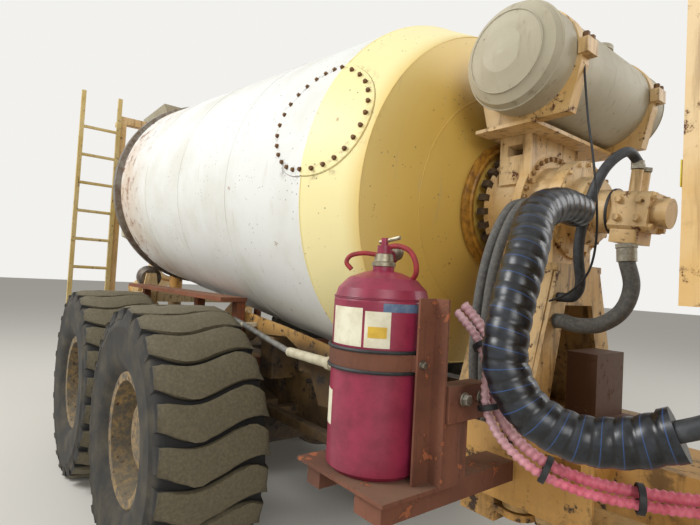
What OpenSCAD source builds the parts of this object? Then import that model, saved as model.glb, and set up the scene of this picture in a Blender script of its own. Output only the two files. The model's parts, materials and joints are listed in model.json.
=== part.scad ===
// Off-road concrete mixer truck: a six-wheeled articulated carrier with a tilted mixing drum.
// X points forward, Y to the left and Z up. Lengths are in millimetres.
// Stations along the machine (x) are counted from the middle axle, then the whole is centred.

/* [Wheels and axles] */
// Radius of a tyre over its lugs
tyre_r = 775; // [740:5:810]
// Width of a tyre at its sidewalls
tyre_w = 600; // [560:10:640]
// Depth of the tread between two lugs
lug_depth = 38; // [15:1:45]
// Lugs around one tyre
lug_count = 24; // [16:1:30]
// Radius of a rim's flange
flange_r = 381; // [375:1:390]
// Width of a rim over its flanges
rim_w = 494; // [460:2:510]
// How far the wheel disc sits in from the outer flange
dish_depth = 205; // [150:5:260]
// Half the track, to the middle of a tyre
wheel_y = 1125; // [1100:5:1180]
// Distance between the middle and rear axles
bogie_span = 1670; // [1640:10:1760]
// Distance from the middle axle to the front axle
wheelbase = 4175; // [4100:25:4300]
// Radius of an axle's end spindle
spindle_r = 70; // [50:2:90]

/* [Rear frame] */
// Top of the frame above the axle line
frame_rise = 405; // [380:5:450]
// Half the distance between the middles of the two beams
beam_y = 360; // [330:5:400]
// Width of a beam
beam_w = 120; // [80:5:150]
// Depth of a beam
beam_h = 320; // [260:10:340]
// Rear end of the beams, behind the middle axle
frame_rear = 3080; // [3040:10:3150]
// Distance from the steering pivot to the front axle
pivot_back = 1225; // [1200:5:1250]
// Radius of the pivot pin
pivot_r = 55; // [40:1:65]

/* [Drum] */
// Tilt of the drum's axis, mouth end up, in degrees
drum_tilt = 6.5; // [5:0.25:8]
// Largest radius of the drum
drum_r = 970; // [940:5:990]
// Radius of the seam round the front head
head_r = 850; // [800:5:880]
// Radius of the drum's mouth
mouth_r = 520; // [460:5:560]
// Thickness of the drum's plate
shell_t = 8; // [6:1:12]
// Drive flange of the gearbox, ahead of the middle axle
drive_x = 1910; // [1890:5:1930]
// Height of the drive flange over the frame
drive_rise = 955; // [940:5:980]
// From the drive flange to the drum's bearing ring
ring_at = 370; // [360:2:380]
// From the drive flange to the head seam
head_at = 520; // [505:5:530]
// From the drive flange to the widest section
front_at = 810; // [790:10:850]
// From the drive flange to the rear rim
rear_at = 4220; // [4180:10:4240]
// From the drive flange to the mouth
mouth_at = 5150; // [5120:10:5200]
// Radius of the drum's bearing ring
bearing_r = 290; // [270:5:310]
// Radius of the track that runs on the rollers
track_r = 1000; // [995:1:1010]
// Width of the track
track_w = 80; // [60:5:90]
// Radius of a roller
roller_r = 120; // [100:5:130]
// Place of each roller round from the lowest point, in degrees
roller_angle = 30; // [26:1:34]
// Radius of a bolted hatch on the drum
hatch_r = 300; // [260:5:320]

/* [Drive and water] */
// Radius of the gearbox's bolted flange
gear_r = 220; // [200:5:230]
// Radius of the water tank
tank_r = 220; // [200:5:225]
// Length of the water tank over its domed ends
tank_len = 1170; // [1100:10:1220]
// How far the tank's middle lies to the left
tank_shift = 55; // [0:5:80]
// Height of the tank's axis over the drive flange
tank_rise = 590; // [580:5:610]

/* [Fire bottle] */
// Radius of the bottle
bottle_r = 158; // [140:2:165]
// Height of the bottle without its valve
bottle_h = 640; // [600:10:680]
// Bottle's middle, ahead of the middle axle
bottle_x = 1800; // [1770:5:1820]
// Bottle's middle, out to the right
bottle_y = 1060; // [1050:5:1090]

/* [Chute] */
// Length of the chute
chute_len = 1250; // [1100:10:1400]
// Radius of the chute's trough
trough_r = 210; // [190:5:220]
// Slope of the chute at rest, in degrees
chute_slope = 18; // [10:1:25]

/* [Front unit] */
// Overhang of the nose ahead of the front axle
nose_len = 2760; // [2700:10:2800]
// Height of the cab's roof over the frame
cab_rise = 2200; // [2150:10:2300]
// Half the width of the cab
cab_half = 780; // [760:5:800]
// Thickness of the cab's walls
cab_t = 50; // [40:2:60]
// Thickness of a window pane
glass_t = 8; // [6:1:12]
// Half the width of the bonnet
hood_half = 720; // [690:5:750]
// Thickness of the bonnet's skin
hood_t = 12; // [8:1:20]

/* [Mounting points] */
// Radius of the rear tow clevis's hole
tow_r = 26; // [18:1:32]
// Radius of the hole in a front towing eye
eye_r = 22; // [16:1:28]
// Pitch circle of the beacon's holes on the roof
beacon_pcd = 130; // [100:5:160]
// Radius of a beacon bolt's hole
beacon_hole_r = 5.5; // [4:0.5:8]

/* [Steering cylinders] */
// Radius of a cylinder's barrel
ram_r = 62; // [55:1:68]
// Radius of a cylinder's rod
rod_r = 32; // [26:1:36]
// Length of a barrel from its eye
barrel_len = 720; // [700:5:730]

/* [Hidden] */
$fn = 48;

// Clearances: a running fit, a seat and the free gap between moving pieces
fit = 0.5;
touch = 0.3;
gap = 8;

tan = "#c79a4b";
cream = "#c9bda0";
white = "#e9e8e2";
lemon = "#e8d47a";
dark = "#3a3936";
rust = "#7a4a2c";
steel = "#8d8b86";

axle_z = tyre_r;
pivot_x = wheelbase - pivot_back;
beam_top = axle_z + frame_rise;
beam_z = beam_top - beam_h;
frame_out = beam_y + beam_w / 2;
drive_z = beam_top + drive_rise;
tank_x = drive_x - 70;
tank_z = drive_z + tank_rise;
track_at = rear_at + 180;
bottle_z = beam_top - 20;

// Taper of the rear cone, as radius lost per length
cone_fall = (drum_r - mouth_r) / (mouth_at - rear_at);
function cone_r(at) = drum_r - cone_fall * (at - rear_at);

// Sides of the drum's round, a multiple that lines up with the hatches
drum_sides = 120;

// Roller centres on the drum's own axes, and where they come to lie
roller_d = track_r + roller_r + touch;
roller_y = roller_d * sin(roller_angle);
roller_low = roller_d * cos(roller_angle);
function drum_x(at, up) = drive_x - at * cos(drum_tilt) + up * sin(drum_tilt);
function drum_z(at, up) = drive_z + at * sin(drum_tilt) + up * cos(drum_tilt);

// The chute hangs on a turret under the mouth
turret_x = drum_x(mouth_at, 0) - 130;
turret_z = beam_top + 620;
turret_r = 60;
chute_pin_x = turret_x - 225;
chute_pin_z = turret_z + 60;
trough_t = 6;

// Both ends of the machine, and the middle that the whole is centred on
lamp_t = 18;
chute_rear = chute_pin_x - chute_len * cos(chute_slope);
nose_x = wheelbase + nose_len - lamp_t;
centre_x = (nose_x + lamp_t + chute_rear) / 2;

module boxed(x0, x1, y0, y1, z0, z1) {
    translate([x0, y0, z0])
        cube([x1 - x0, y1 - y0, z1 - z0]);
}

// A flat outline in X and Z, extruded across from y0 to y1
module across(y0, y1) {
    translate([0, y1, 0])
        rotate([90, 0, 0])
            linear_extrude(y1 - y0)
                children();
}

// A flat outline in Y and Z, extruded forward from x0 to x1
module along(x0, x1) {
    translate([x0, 0, 0])
        rotate([90, 0, 90])
            linear_extrude(x1 - x0)
                children();
}

module both_sides() {
    children();
    mirror([0, 1, 0])
        children();
}

// A rod of round section across the machine, from y0 to y1
module rod_across(x, z, r, y0, y1) {
    translate([x, y1, z])
        rotate([90, 0, 0])
            cylinder(r = r, h = y1 - y0);
}

// A rod of round section along the machine, from x0 to x1
module rod_along(y, z, r, x0, x1) {
    translate([x0, y, z])
        rotate([0, 90, 0])
            cylinder(r = r, h = x1 - x0);
}

// The drum's own axes: local Z runs back along its axis, local X points up
module on_drum(at = 0) {
    translate([drive_x, 0, drive_z])
        rotate([0, drum_tilt - 90, 0])
            translate([0, 0, at])
                children();
}

// Sweep a tube of n sides and radius r along points, with rounded joints between them
function unit(v) = v / norm(v);
function ahead(p, i) = unit(p[min(i + 1, len(p) - 1)] - p[max(i - 1, 0)]);
function side(t) = unit(cross(abs(t[2]) > 0.95 ? [0, 1, 0] : [0, 0, 1], t));
function carried(p, i) = i == 0 ? side(ahead(p, 0))
    : let (last = carried(p, i - 1), t = ahead(p, i)) unit(last - t * (last * t));
function ring_points(p, i, r, n) =
    let (t = ahead(p, i), u = carried(p, i), v = cross(t, u))
    [for (k = [0 : n - 1]) p[i] + r * (cos(360 * k / n) * u + sin(360 * k / n) * v)];
function bend(a, b, c, d, t) = 0.5 * (2 * b + (c - a) * t + (2 * a - 5 * b + 4 * c - d) * t * t
    + (3 * b - a - 3 * c + d) * t * t * t);
function smooth_route(p, k) = concat([for (i = [0 : len(p) - 2], j = [0 : k - 1])
    bend(p[max(i - 1, 0)], p[i], p[i + 1], p[min(i + 2, len(p) - 1)], j / k)], [p[len(p) - 1]]);

module swept(route, r, n = 8, k = 3) {
    p = smooth_route(route, k);
    m = len(p);
    points = [for (i = [0 : m - 1]) each ring_points(p, i, r, n)];
    sides = [for (i = [0 : m - 2], j = [0 : n - 1])
        let (a = i * n + j, b = i * n + (j + 1) % n) [a, b, b + n, a + n]];
    ends = [[for (j = [n - 1 : -1 : 0]) j], [for (j = [0 : n - 1]) (m - 1) * n + j]];
    polyhedron(points, concat([for (f = sides) [f[3], f[2], f[1], f[0]]],
        [for (f = ends) [for (j = [n - 1 : -1 : 0]) f[j]]]));
}

// Wheels

wheel_xs = [wheelbase, 0, -bogie_span];
seat_r = flange_r - 36;
lug_half = 0.35 * 360 / lug_count;
groove_r = tyre_r - lug_depth;
tread_w = tyre_w - 40;

// Half section of the tyre as radius and half width
module tyre_section() {
    half = tyre_w / 2;
    bead = rim_w / 2 - 12;
    right = [[seat_r, bead], [flange_r + 1, bead], [flange_r + 22, half - 34], [flange_r + 90, half - 8],
        [flange_r + 180, half], [groove_r - 80, half - 4], [groove_r - 25, half - 14],
        [groove_r, tread_w / 2 - 12]];
    polygon(concat(right, [for (i = [len(right) - 1 : -1 : 0]) [right[i][0], -right[i][1]]]));
}

module tread_ring() {
    top = tyre_r / cos(lug_half);
    step = 360 / lug_count;
    foot = groove_r - 12;
    linear_extrude(tread_w, center = true)
        difference() {
            polygon([for (i = [0 : lug_count - 1]) each [
                for (c = [[-1.35, foot], [-1, top], [1, top], [1.35, foot]])
                    let (a = i * step - 90 + c[0] * lug_half) c[1] * [cos(a), sin(a)]]]);
            circle(r = groove_r - 40);
        }
}

module tyre_at(x, s) {
    color(dark)
        translate([x, s * wheel_y, axle_z])
            rotate([90, 0, 0])
                union() {
                    rotate_extrude()
                        tyre_section();
                    tread_ring();
                }
}

// The rim's dish opens outwards; its hub is bored for the axle's spindle
module rim_at(x, s) {
    half = rim_w / 2;
    disc = half - dish_depth;
    color(tan)
        translate([x, s * wheel_y, axle_z])
            rotate([s > 0 ? -90 : 90, 0, 0])
                rotate_extrude()
                    polygon([[seat_r - 16, -half + 4], [flange_r - 8, -half], [flange_r, -half + 4],
                        [flange_r, -half + 12], [seat_r, -half + 12], [seat_r, half - 12],
                        [flange_r, half - 12], [flange_r, half - 4], [flange_r - 8, half],
                        [seat_r - 16, half - 4], [seat_r - 22, disc + 30], [250, disc + 6],
                        [205, disc + 6], [190, disc + 115], [150, disc + 128], [0, disc + 128],
                        [0, disc + 70], [spindle_r + fit, disc + 70], [spindle_r + fit, disc - 70],
                        [190, disc - 70], [205, disc - 16], [seat_r - 30, disc - 16],
                        [seat_r - 16, disc - 40]]);
}

tube_r = 165;

// Axle housing with a bulging differential and a spindle at each end
module axle_at(x) {
    hub_in = wheel_y + rim_w / 2 - dish_depth - 70;
    spindle_end = wheel_y + rim_w / 2 - dish_depth + 60;
    translate([x, 0, axle_z]) {
        rotate([90, 0, 0])
            cylinder(r = spindle_r, h = 2 * spindle_end, center = true);
        rotate([90, 0, 0])
            cylinder(r = 120, h = 2 * (hub_in - gap), center = true);
        rotate([90, 0, 0])
            cylinder(r = tube_r, h = 2 * (hub_in - 180), center = true);
        sphere(r = 245);
        rotate([0, 90, 0])
            cylinder(r = 140, h = 560, center = true);
    }
}

module bogie() {
    arm_y = beam_y + beam_w / 2 + 90;
    color(tan) {
        axle_at(0);
        axle_at(-bogie_span);
        // Drive shafts to the two axles
        rod_along(0, axle_z + 20, 55, 270, pivot_x - 620);
        rod_along(0, axle_z + 20, 55, -bogie_span + 270, -270);
        // Walking beams, pinned in the middle and seated on both axles
        both_sides() {
            across(arm_y - 60, arm_y + 60)
                polygon([[-bogie_span - 150, axle_z + 165], [-bogie_span - 150, axle_z + 90],
                    [150, axle_z + 90], [150, axle_z + 165],
                    [-bogie_span / 2 + 180, axle_z + 330], [-bogie_span / 2 - 180, axle_z + 330]]);
            rod_across(-bogie_span / 2, axle_z + 245, 70, beam_y + beam_w / 2, arm_y + 90);
        }
    }
}

// Rear frame with its neck, fork and pin

neck_half = 190;
neck_front = pivot_x - 235;
neck_rear = pivot_x - 1230;
fork_t = 55;
fork_top = beam_top - 20;
fork_low = beam_z - 90;
lug_top = fork_top - fork_t - 3;
lug_low = fork_low + fork_t + 3;
ram_base_x = pivot_x - 1000;
ram_base_y = 430;
ram_z = (lug_top + lug_low) / 2;
ram_pin_r = 30;
ram_arm_x = 60;
ram_arm_y = 330;
eye_half = 34;
eye_gap = 6;

module rear_frame() {
    color(tan) {
        both_sides() {
            difference() {
                boxed(-frame_rear, neck_rear, beam_y - beam_w / 2, beam_y + beam_w / 2, beam_z, beam_top);
                rod_across(0, axle_z, tube_r + 10, 0, 2 * beam_y);
                rod_across(-bogie_span, axle_z, tube_r + 10, 0, 2 * beam_y);
            }
        }
        for (x = [-frame_rear + 20, -bogie_span / 2 - 80, 640, 1380])
            boxed(x, x + 140, -beam_y + beam_w / 2, beam_y - beam_w / 2, beam_z + 60, beam_top - 20);
        // Transom that carries the neck and the steering cylinders
        boxed(neck_rear, neck_rear + 160, -ram_base_y - 60, ram_base_y + 60, beam_z, beam_top);
        difference() {
            boxed(neck_rear + 160, neck_front, -neck_half, neck_half, fork_low, fork_top);
            boxed(neck_rear + 200, neck_front - 60, -neck_half + 25, neck_half - 25, fork_low - 1,
                fork_low + 90);
            rod_along(0, axle_z + 20, 60, neck_rear, pivot_x - 560);
        }
        fork(fork_top - fork_t);
        fork(fork_low);
        translate([pivot_x, 0, fork_low - 30])
            cylinder(r = pivot_r, h = fork_top - fork_low + 60);
        for (z = [fork_low - 40, fork_top])
            translate([pivot_x, 0, z])
                cylinder(r = pivot_r + 35, h = 40);
        both_sides()
            ram_seat();
        flaked_panel();
        turret_post();
        // Rear bar with a tow clevis on a plate behind it
        boxed(-frame_rear - 40, -frame_rear, -900, 900, beam_z - 40, beam_z + 75);
        boxed(-frame_rear - 62, -frame_rear - 40, -90, 90, tow_z - tow_gap / 2 - tow_t, beam_z + 40);
        difference() {
            for (z = [tow_z - tow_gap / 2 - tow_t, tow_z + tow_gap / 2])
                boxed(-frame_rear - 180, -frame_rear - 60, -70, 70, z, z + tow_t);
            translate([-frame_rear - 120, 0, 0])
                cylinder(r = tow_r, h = beam_z + 20);
        }
    }
}

// Tow clevis at the rear: two plates and a bore for a pin
tow_t = 25;
tow_gap = 50;
tow_z = beam_z - 80;

module fork(z) {
    translate([0, 0, z])
        linear_extrude(fork_t)
            union() {
                translate([pivot_x, 0])
                    circle(r = 135);
                polygon([[neck_front - 10, -neck_half], [pivot_x, -134], [pivot_x, 134],
                    [neck_front - 10, neck_half]]);
            }
}

// Two lugs and a pin for a steering cylinder's eye
module ram_seat() {
    for (z = [ram_z - eye_half - eye_gap - 25, ram_z + eye_half + eye_gap])
        translate([0, 0, z])
            linear_extrude(25)
                union() {
                    translate([ram_base_x, ram_base_y])
                        circle(r = 70);
                    translate([neck_rear + 150, ram_base_y - 70])
                        square([ram_base_x - neck_rear - 150, 130]);
                }
    translate([ram_base_x, ram_base_y, ram_z - eye_half - 50])
        cylinder(r = ram_pin_r, h = 2 * eye_half + 100);
}

// The upright side panel with flaking paint, low on the right beside the neck
panel_y = 560;
module flaked_panel() {
    difference() {
        boxed(neck_rear + 60, neck_rear + 570, -panel_y - 12, -panel_y, beam_top - 190, beam_top + 70);
        boxed(neck_rear + 400, neck_rear + 530, -panel_y - 20, -panel_y + 20, beam_top - 40, beam_top + 30);
    }
    boxed(neck_rear + 60, neck_rear + 160, -panel_y, -ram_base_y - 60, beam_top - 190, beam_top);
    boxed(neck_rear + 460, neck_rear + 480, -panel_y, -neck_half, beam_top - 100, beam_top - 40);
}

// Pedestal, gearbox and motor at the drum's drive end

ped_front = drive_x + 30;
ped_rear = drive_x - 330;
ped_half = 330;
saddle_z = drive_z - gear_r - 60;

module front_pedestal() {
    color(tan) {
        for (x = [ped_rear, ped_front - 20])
            along(x, x + 20)
                difference() {
                    polygon([[-ped_half - 80, beam_top], [ped_half + 80, beam_top],
                        [190, saddle_z], [-190, saddle_z]]);
                    polygon([[-230, beam_top + 90], [230, beam_top + 90],
                        [120, saddle_z - 150], [-120, saddle_z - 150]]);
                }
        boxed(ped_rear, ped_front, -200, 200, saddle_z, saddle_z + 30);
        boxed(ped_rear, ped_front, -190, 190, saddle_z - 120, saddle_z - 100);
        both_sides()
            along(ped_rear + 20, ped_front - 20)
                polygon([[ped_half + 72, beam_top], [ped_half + 80, beam_top], [198, saddle_z],
                    [186, saddle_z]]);
        // Brown box low in the pedestal
        boxed(ped_front, ped_front + 130, -90, 160, beam_top + 60, beam_top + 330);
        boxed(ped_front - 20, ped_front + 200, -250, 250, beam_top, beam_top + 60);
    }
}

stub_r = 120;
module drum_gearbox() {
    color(tan) {
        on_drum() {
            // Stub that carries the drum, then the housing, flange and reduction stages
            translate([0, 0, ring_at - 50])
                rotate_extrude()
                    polygon([[0, 0], [stub_r, 0], [stub_r, 60], [0, 60]]);
            rotate_extrude()
                polygon([[0, -110], [130, -110], [150, -90], [150, -26], [gear_r, -26], [gear_r, 26],
                    [gear_r - 25, 26], [gear_r - 25, 130], [gear_r + 30, 130], [gear_r + 30, 170],
                    [gear_r - 10, 190], [gear_r - 10, 300], [250, 310], [250, ring_at - 50],
                    [0, ring_at - 50]]);
            for (k = [0 : 15])
                rotate([0, 0, k * 22.5])
                    translate([gear_r - 14, 0, -40])
                        cylinder(r = 11, h = 16, $fn = 6);
        }
        // Foot under the housing, and the box on top that the tank's cradle stands on
        difference() {
            boxed(ped_rear + 40, ped_front - 40, -170, 170, saddle_z + 30, drive_z - 60);
            on_drum(-200)
                cylinder(r = 180, h = 700);
        }
        difference() {
            boxed(ped_rear + 60, drive_x - 110, -210, 210, drive_z + 110, cradle_z);
            on_drum(-200)
                cylinder(r = 180, h = 700);
            boxed(ped_rear + 100, drive_x - 150, -250, 250, drive_z + 240, cradle_z - 40);
        }
    }
}

module drum_motor() {
    color(tan)
        on_drum() {
            translate([0, 0, -180])
                cylinder(r = 95, h = 70);
            translate([0, 0, -330])
                linear_extrude(151)
                    intersection() {
                        square(160, center = true);
                        circle(r = 101);
                    }
            // Valve block below, end cover, and two ports on top
            translate([-131, -66, -300])
                cube([90, 132, 110]);
            translate([0, 0, -385])
                cylinder(r = 60, h = 60);
            for (y = [-36, 36])
                translate([70, y, -250])
                    rotate([0, 90, 0])
                        cylinder(r = 22, h = 100);
        }
}

// Water tank across the machine on its cradle

cradle_z = tank_z - tank_r - 40;
saddle_ys = [-300, 400];
strap_w = 60;
strap_t = 6;

module tank_ends(r, len) {
    rotate_extrude()
        polygon([[0, -len / 2], [r * 0.4, -len / 2 + 10], [r * 0.75, -len / 2 + 36],
            [r * 0.93, -len / 2 + 62],
            [r, -len / 2 + 95], [r, len / 2 - 95], [r * 0.93, len / 2 - 62], [r * 0.75, len / 2 - 36],
            [r * 0.4, len / 2 - 10], [0, len / 2]]);
}

module water_tank() {
    color(cream)
        translate([tank_x, tank_shift, tank_z]) {
            rotate([90, 0, 0])
                tank_ends(tank_r, tank_len);
            translate([0, 240, tank_r - 8])
                cylinder(r = 60, h = 48);
            translate([0, 240, tank_r + 40])
                cylinder(r = 70, h = 22);
        }
}

module tank_cradle() {
    color(tan) {
        boxed(ped_rear + 20, drive_x - 20, saddle_ys[0] - 50, saddle_ys[1] + 50, cradle_z, cradle_z + 16);
        for (y = saddle_ys) {
            across(y - strap_w / 2, y + strap_w / 2)
                difference() {
                    polygon([[tank_x - 190, cradle_z + 16], [tank_x + 190, cradle_z + 16],
                        [tank_x + 235, tank_z - 60], [tank_x + 235, tank_z],
                        [tank_x - 235, tank_z], [tank_x - 235, tank_z - 60]]);
                    translate([tank_x, tank_z])
                        circle(r = tank_r + strap_t);
                }
            // Flat strap round the tank with an ear on each side
            translate([tank_x, y, tank_z])
                rotate([90, 0, 0])
                    difference() {
                        cylinder(r = tank_r + strap_t, h = strap_w, center = true);
                        cylinder(r = tank_r, h = strap_w + 2, center = true);
                    }
            for (s = [-1, 1])
                boxed(tank_x + s * 245 - 20, tank_x + s * 245 + 20, y - 40, y + 40, tank_z - 30, tank_z + 30);
        }
    }
}

// Fire bottle on a bracket at the right, and the rusty post beside it

module fire_bottle() {
    color("#8a1f33")
        translate([bottle_x, -bottle_y, bottle_z]) {
            rotate_extrude()
                polygon([[0, 0], [bottle_r * 0.9, 0], [bottle_r, 16], [bottle_r, bottle_h - 100],
                    [bottle_r * 0.93, bottle_h - 60], [bottle_r * 0.72, bottle_h - 26],
                    [bottle_r * 0.4, bottle_h - 6], [36, bottle_h], [36, bottle_h + 14], [0, bottle_h + 14]]);
            translate([0, 0, bottle_h + 14])
                cylinder(r = 24, h = 70);
            translate([-20, 12, bottle_h + 52])
                rotate([0, 90, 90])
                    cylinder(r = 22, h = 54);
            translate([0, 0, bottle_h + 84])
                cylinder(r = 12, h = 26);
        }
}

module bottle_stand() {
    post_x = bottle_x + bottle_r + 30;
    color(rust) {
        // Tray, and two arms from the frame
        boxed(bottle_x - 190, post_x + 50, -bottle_y - 175, -bottle_y + 175, bottle_z - 12, bottle_z);
        boxed(bottle_x - 160, bottle_x - 90, -bottle_y - 150, -frame_out, bottle_z - 82, bottle_z - 12);
        boxed(bottle_x + 90, post_x + 20, -bottle_y - 150, -panel_y - 12, bottle_z - 82, bottle_z - 12);
        // Angle post
        boxed(post_x, post_x + 8, -bottle_y - 20, -bottle_y + 55, bottle_z, bottle_z + 560);
        boxed(post_x, post_x + 60, -bottle_y + 47, -bottle_y + 55, bottle_z, bottle_z + 560);
        // Band round the bottle, with its bolted ear on the post
        translate([bottle_x, -bottle_y, bottle_z + 330])
            difference() {
                cylinder(r = bottle_r + 7, h = 60);
                translate([0, 0, -1])
                    cylinder(r = bottle_r, h = 62);
            }
        boxed(bottle_x + bottle_r + 4, post_x, -bottle_y - 15, -bottle_y + 35, bottle_z + 335,
            bottle_z + 385);
        // Bolted box beside the post
        boxed(post_x + 8, post_x + 70, -bottle_y + 60, -bottle_y + 240, bottle_z + 190, bottle_z + 300);
        boxed(post_x - 25, post_x + 50, -bottle_y + 55, -bottle_y + 175, bottle_z, bottle_z + 190);
        for (y = [-bottle_y + 110, -bottle_y + 190])
            rod_along(y, bottle_z + 262, 16, post_x + 70, post_x + 84);
    }
}

// Hoses and conduits that cross the pivot, on routes chosen by hand from the photograph

bundle_route = [[2090, -340, 2075], [2110, -520, 2070], [2130, -690, 2010], [2180, -820, 1880],
    [2195, -900, 1740], [2200, -940, 1620], [2215, -950, 1530], [2275, -930, 1435], [2375, -880, 1385],
    [2490, -830, 1395], [2590, -800, 1440]];
pink_route = [[1960, -830, 1700], [2040, -820, 1620], [2085, -830, 1540], [2100, -850, 1460],
    [2120, -850, 1390],
    [2170, -830, 1320], [2260, -800, 1265], [2370, -740, 1235], [2500, -660, 1230], [2640, -550, 1230],
    [2790, -445, 1200], [2950, -385, 1150], [3100, -365, 1095], [3210, -360, 1075],
    [3245, -360, 1075], [3269.4, -360, 1075]];

module hose_bundle() {
    color(dark) {
        swept(bundle_route, 62, 10, 3);
        // Three hoses leave the sleeve for the front unit
        for (k = [-1 : 1])
            swept([[2560, -805 - 30 * k, 1432], [2650, -790 - 40 * k, 1480], [2740, -780 - 60 * k, 1560],
                [2805, -780 - 75 * k, 1640], [2820, -780 - 80 * k, 1700], [2820, -780 - 80 * k, 1730],
                [2820, -780 - 80 * k, 1749.3]], 24, 8, 3);
    }
}

module conduits() {
    color("#c9667a") {
        swept(pink_route, 17, 8, 3);
        swept([for (p = pink_route) p + [0, -36, -22]], 14, 8, 3);
    }
}

module motor_hoses() {
    color(dark) {
        // The big hose under the motor, and a loop ahead of the gearbox
        swept([[2150, -50, 1971], [2152, -50, 1910], [2185, -75, 1800], [2170, -120, 1700],
            [2110, -170, 1640], [2030, -195, 1630], [1980, -200, 1640], [1960, -200, 1640],
            [ped_front + 0.7, -200, 1640]], 32, 8, 3);
        swept([[2178, -36, 2279], [2178, -42, 2310], [2165, -120, 2335], [2125, -215, 2250],
            [2085, -262, 2090], [2062, -268, 1940], [2055, -230, 1800], [2015, -192, 1748],
            [1980, -185, 1740], [1960, -185, 1740], [ped_front + 0.7, -185, 1740]], 20, 8, 3);
        // Two sleeved hoses from the gearbox down to the transom
        for (x = [1811, 1855])
            swept([[x, -195.8, 2144], [x, -225, 2144], [x, -255, 2143], [x + 4, -370, 2105],
                [x + 10, -470, 1995],
                [x + 18, -550, 1835], [x + 22, -590, 1650], [x + 12, -580, 1450], [x, -538, 1290],
                [x - 8, -525, 1225], [x - 8, -525, 1181.2]], 20, 8, 3);
    }
}

// Rear pedestal with the rollers' brackets, the tower over the mouth and the ladder

roller_x = drum_x(track_at, -roller_low);
roller_z = drum_z(track_at, -roller_low);
roller_pin_r = 30;
roller_half = track_w / 2 + 15;
cheek_t = 25;
ped2_top = roller_z - roller_r - 40;

module rear_pedestal() {
    color(tan) {
        // Box beam across the frame, with two legs
        both_sides() {
            along(roller_x - 110, roller_x + 110)
                polygon([[beam_y - 60, beam_top], [beam_y + 60, beam_top], [roller_y + 70, ped2_top - 100],
                    [roller_y - 70, ped2_top - 100]]);
        }
        boxed(roller_x - 120, roller_x + 120, -roller_y - 130, roller_y + 130, ped2_top - 100, ped2_top);
        for (s = [-1, 1]) {
            roller_cheek(s, -1);
            roller_cheek(s, 1);
            translate([drive_x, 0, drive_z])
                rotate([0, drum_tilt - 90, 0])
                    translate([-roller_low, s * roller_y, track_at])
                        cylinder(r = roller_pin_r, h = 2 * (roller_half + cheek_t + 26), center = true);
        }
        // Tower beside the mouth
        tower();
    }
}

// One cheek plate of a roller's bracket, ahead of it or behind it
module roller_cheek(s, side) {
    x = roller_x + side * (roller_half + 19);
    x0 = side > 0 ? x : x - cheek_t;
    along(x0, x0 + cheek_t)
        polygon([[s * roller_y - 85, ped2_top - 2], [s * roller_y + 85, ped2_top - 2],
            [s * roller_y + 50, roller_z + 45], [s * roller_y - 50, roller_z + 45]]);
}

tower_x = -2960;
tower_y = 860;
tower_at = (drive_x - tower_x) / cos(drum_tilt);
tower_z = ceil(drum_z(tower_at, cone_r(tower_at)) / 10) * 10 + 50;
module tower() {
    both_sides() {
        boxed(tower_x - 50, tower_x + 50, tower_y - 40, tower_y + 40, beam_top - 80, tower_z);
        boxed(tower_x - 40, tower_x + 40, beam_y + beam_w / 2, tower_y - 40, beam_top - 80, beam_top);
    }
    boxed(tower_x - 50, tower_x + 50, -tower_y - 40, tower_y + 40, tower_z, tower_z + 80);
}

module ladder() {
    x0 = tower_x + 50;
    color(lemon) {
        for (y = [-tower_y - 60, -tower_y - 420])
            boxed(x0 + 60, x0 + 100, y - 20, y + 20, beam_top - 380, tower_z + 240);
        for (z = [beam_top - 340 : 300 : tower_z + 100])
            rod_across(x0 + 80, z, 16, -tower_y - 400, -tower_y - 80);
        for (z = [beam_top - 60, tower_z - 60])
            boxed(x0, x0 + 60, -tower_y - 80, -tower_y - 20, z, z + 50);
    }
}

deck_z = 2 * tyre_r + 20;
module side_decks() {
    deck_in = 620;
    deck_out = wheel_y - tyre_w / 2 - 15;
    color(rust)
        both_sides() {
            boxed(-2380, -60, deck_in, deck_out, deck_z, deck_z + 30);
            for (x = [-2340, -bogie_span / 2 - 40, -160]) {
                boxed(x, x + 80, frame_out, deck_in + 60, beam_top - 60, beam_top);
                boxed(x, x + 80, deck_in, deck_in + 60, beam_top, deck_z);
            }
        }
}

// Loading hopper with a spout into the mouth, and the collector under it

hopper_t = 8;
mouth_x = drum_x(mouth_at, 0);
mouth_z = drum_z(mouth_at, 0);
hopper_x = mouth_x - 85;
hopper_low = tower_z + 30;
hopper_z = tower_z + 330;
hopper_top = 430;
hopper_foot = 240;

// A box that tapers from half width top at z1 to half width foot at z0
module tapered(top, foot, z0, z1) {
    intersection() {
        across(-top, top)
            polygon([[hopper_x - top, z1], [hopper_x + top, z1], [hopper_x + foot, z0],
                [hopper_x - foot, z0]]);
        along(hopper_x - top, hopper_x + top)
            polygon([[-top, z1], [top, z1], [foot, z0], [-foot, z0]]);
    }
}

// Side view of the spout, with each wall moved in by t
module spout_outline(t) {
    polygon([[hopper_x - 190 + t, hopper_low + t], [hopper_x + 10 - t, hopper_low + t],
        [hopper_x + 10 - t, mouth_z + mouth_r - 150], [mouth_x + 60 + t, mouth_z + 190 - t],
        [mouth_x - 10 + t, mouth_z + 110 - t], [hopper_x - 190 + t, mouth_z + 330 - t]]);
}

module hopper() {
    wall = hopper_t;
    color(cream) {
        difference() {
            union() {
                tapered(hopper_top + wall, hopper_foot + wall, hopper_low, hopper_z);
                across(-200, 200)
                    spout_outline(0);
            }
            tapered(hopper_top, hopper_foot, hopper_low + wall, hopper_z + 1);
            across(-200 + wall, 200 - wall)
                spout_outline(wall);
        }
        // Arms back to the tower
        for (y = [-240, 180])
            boxed(hopper_x + 60, tower_x - 50, y, y + 60, hopper_low - 60, hopper_low);
    }
}

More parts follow.
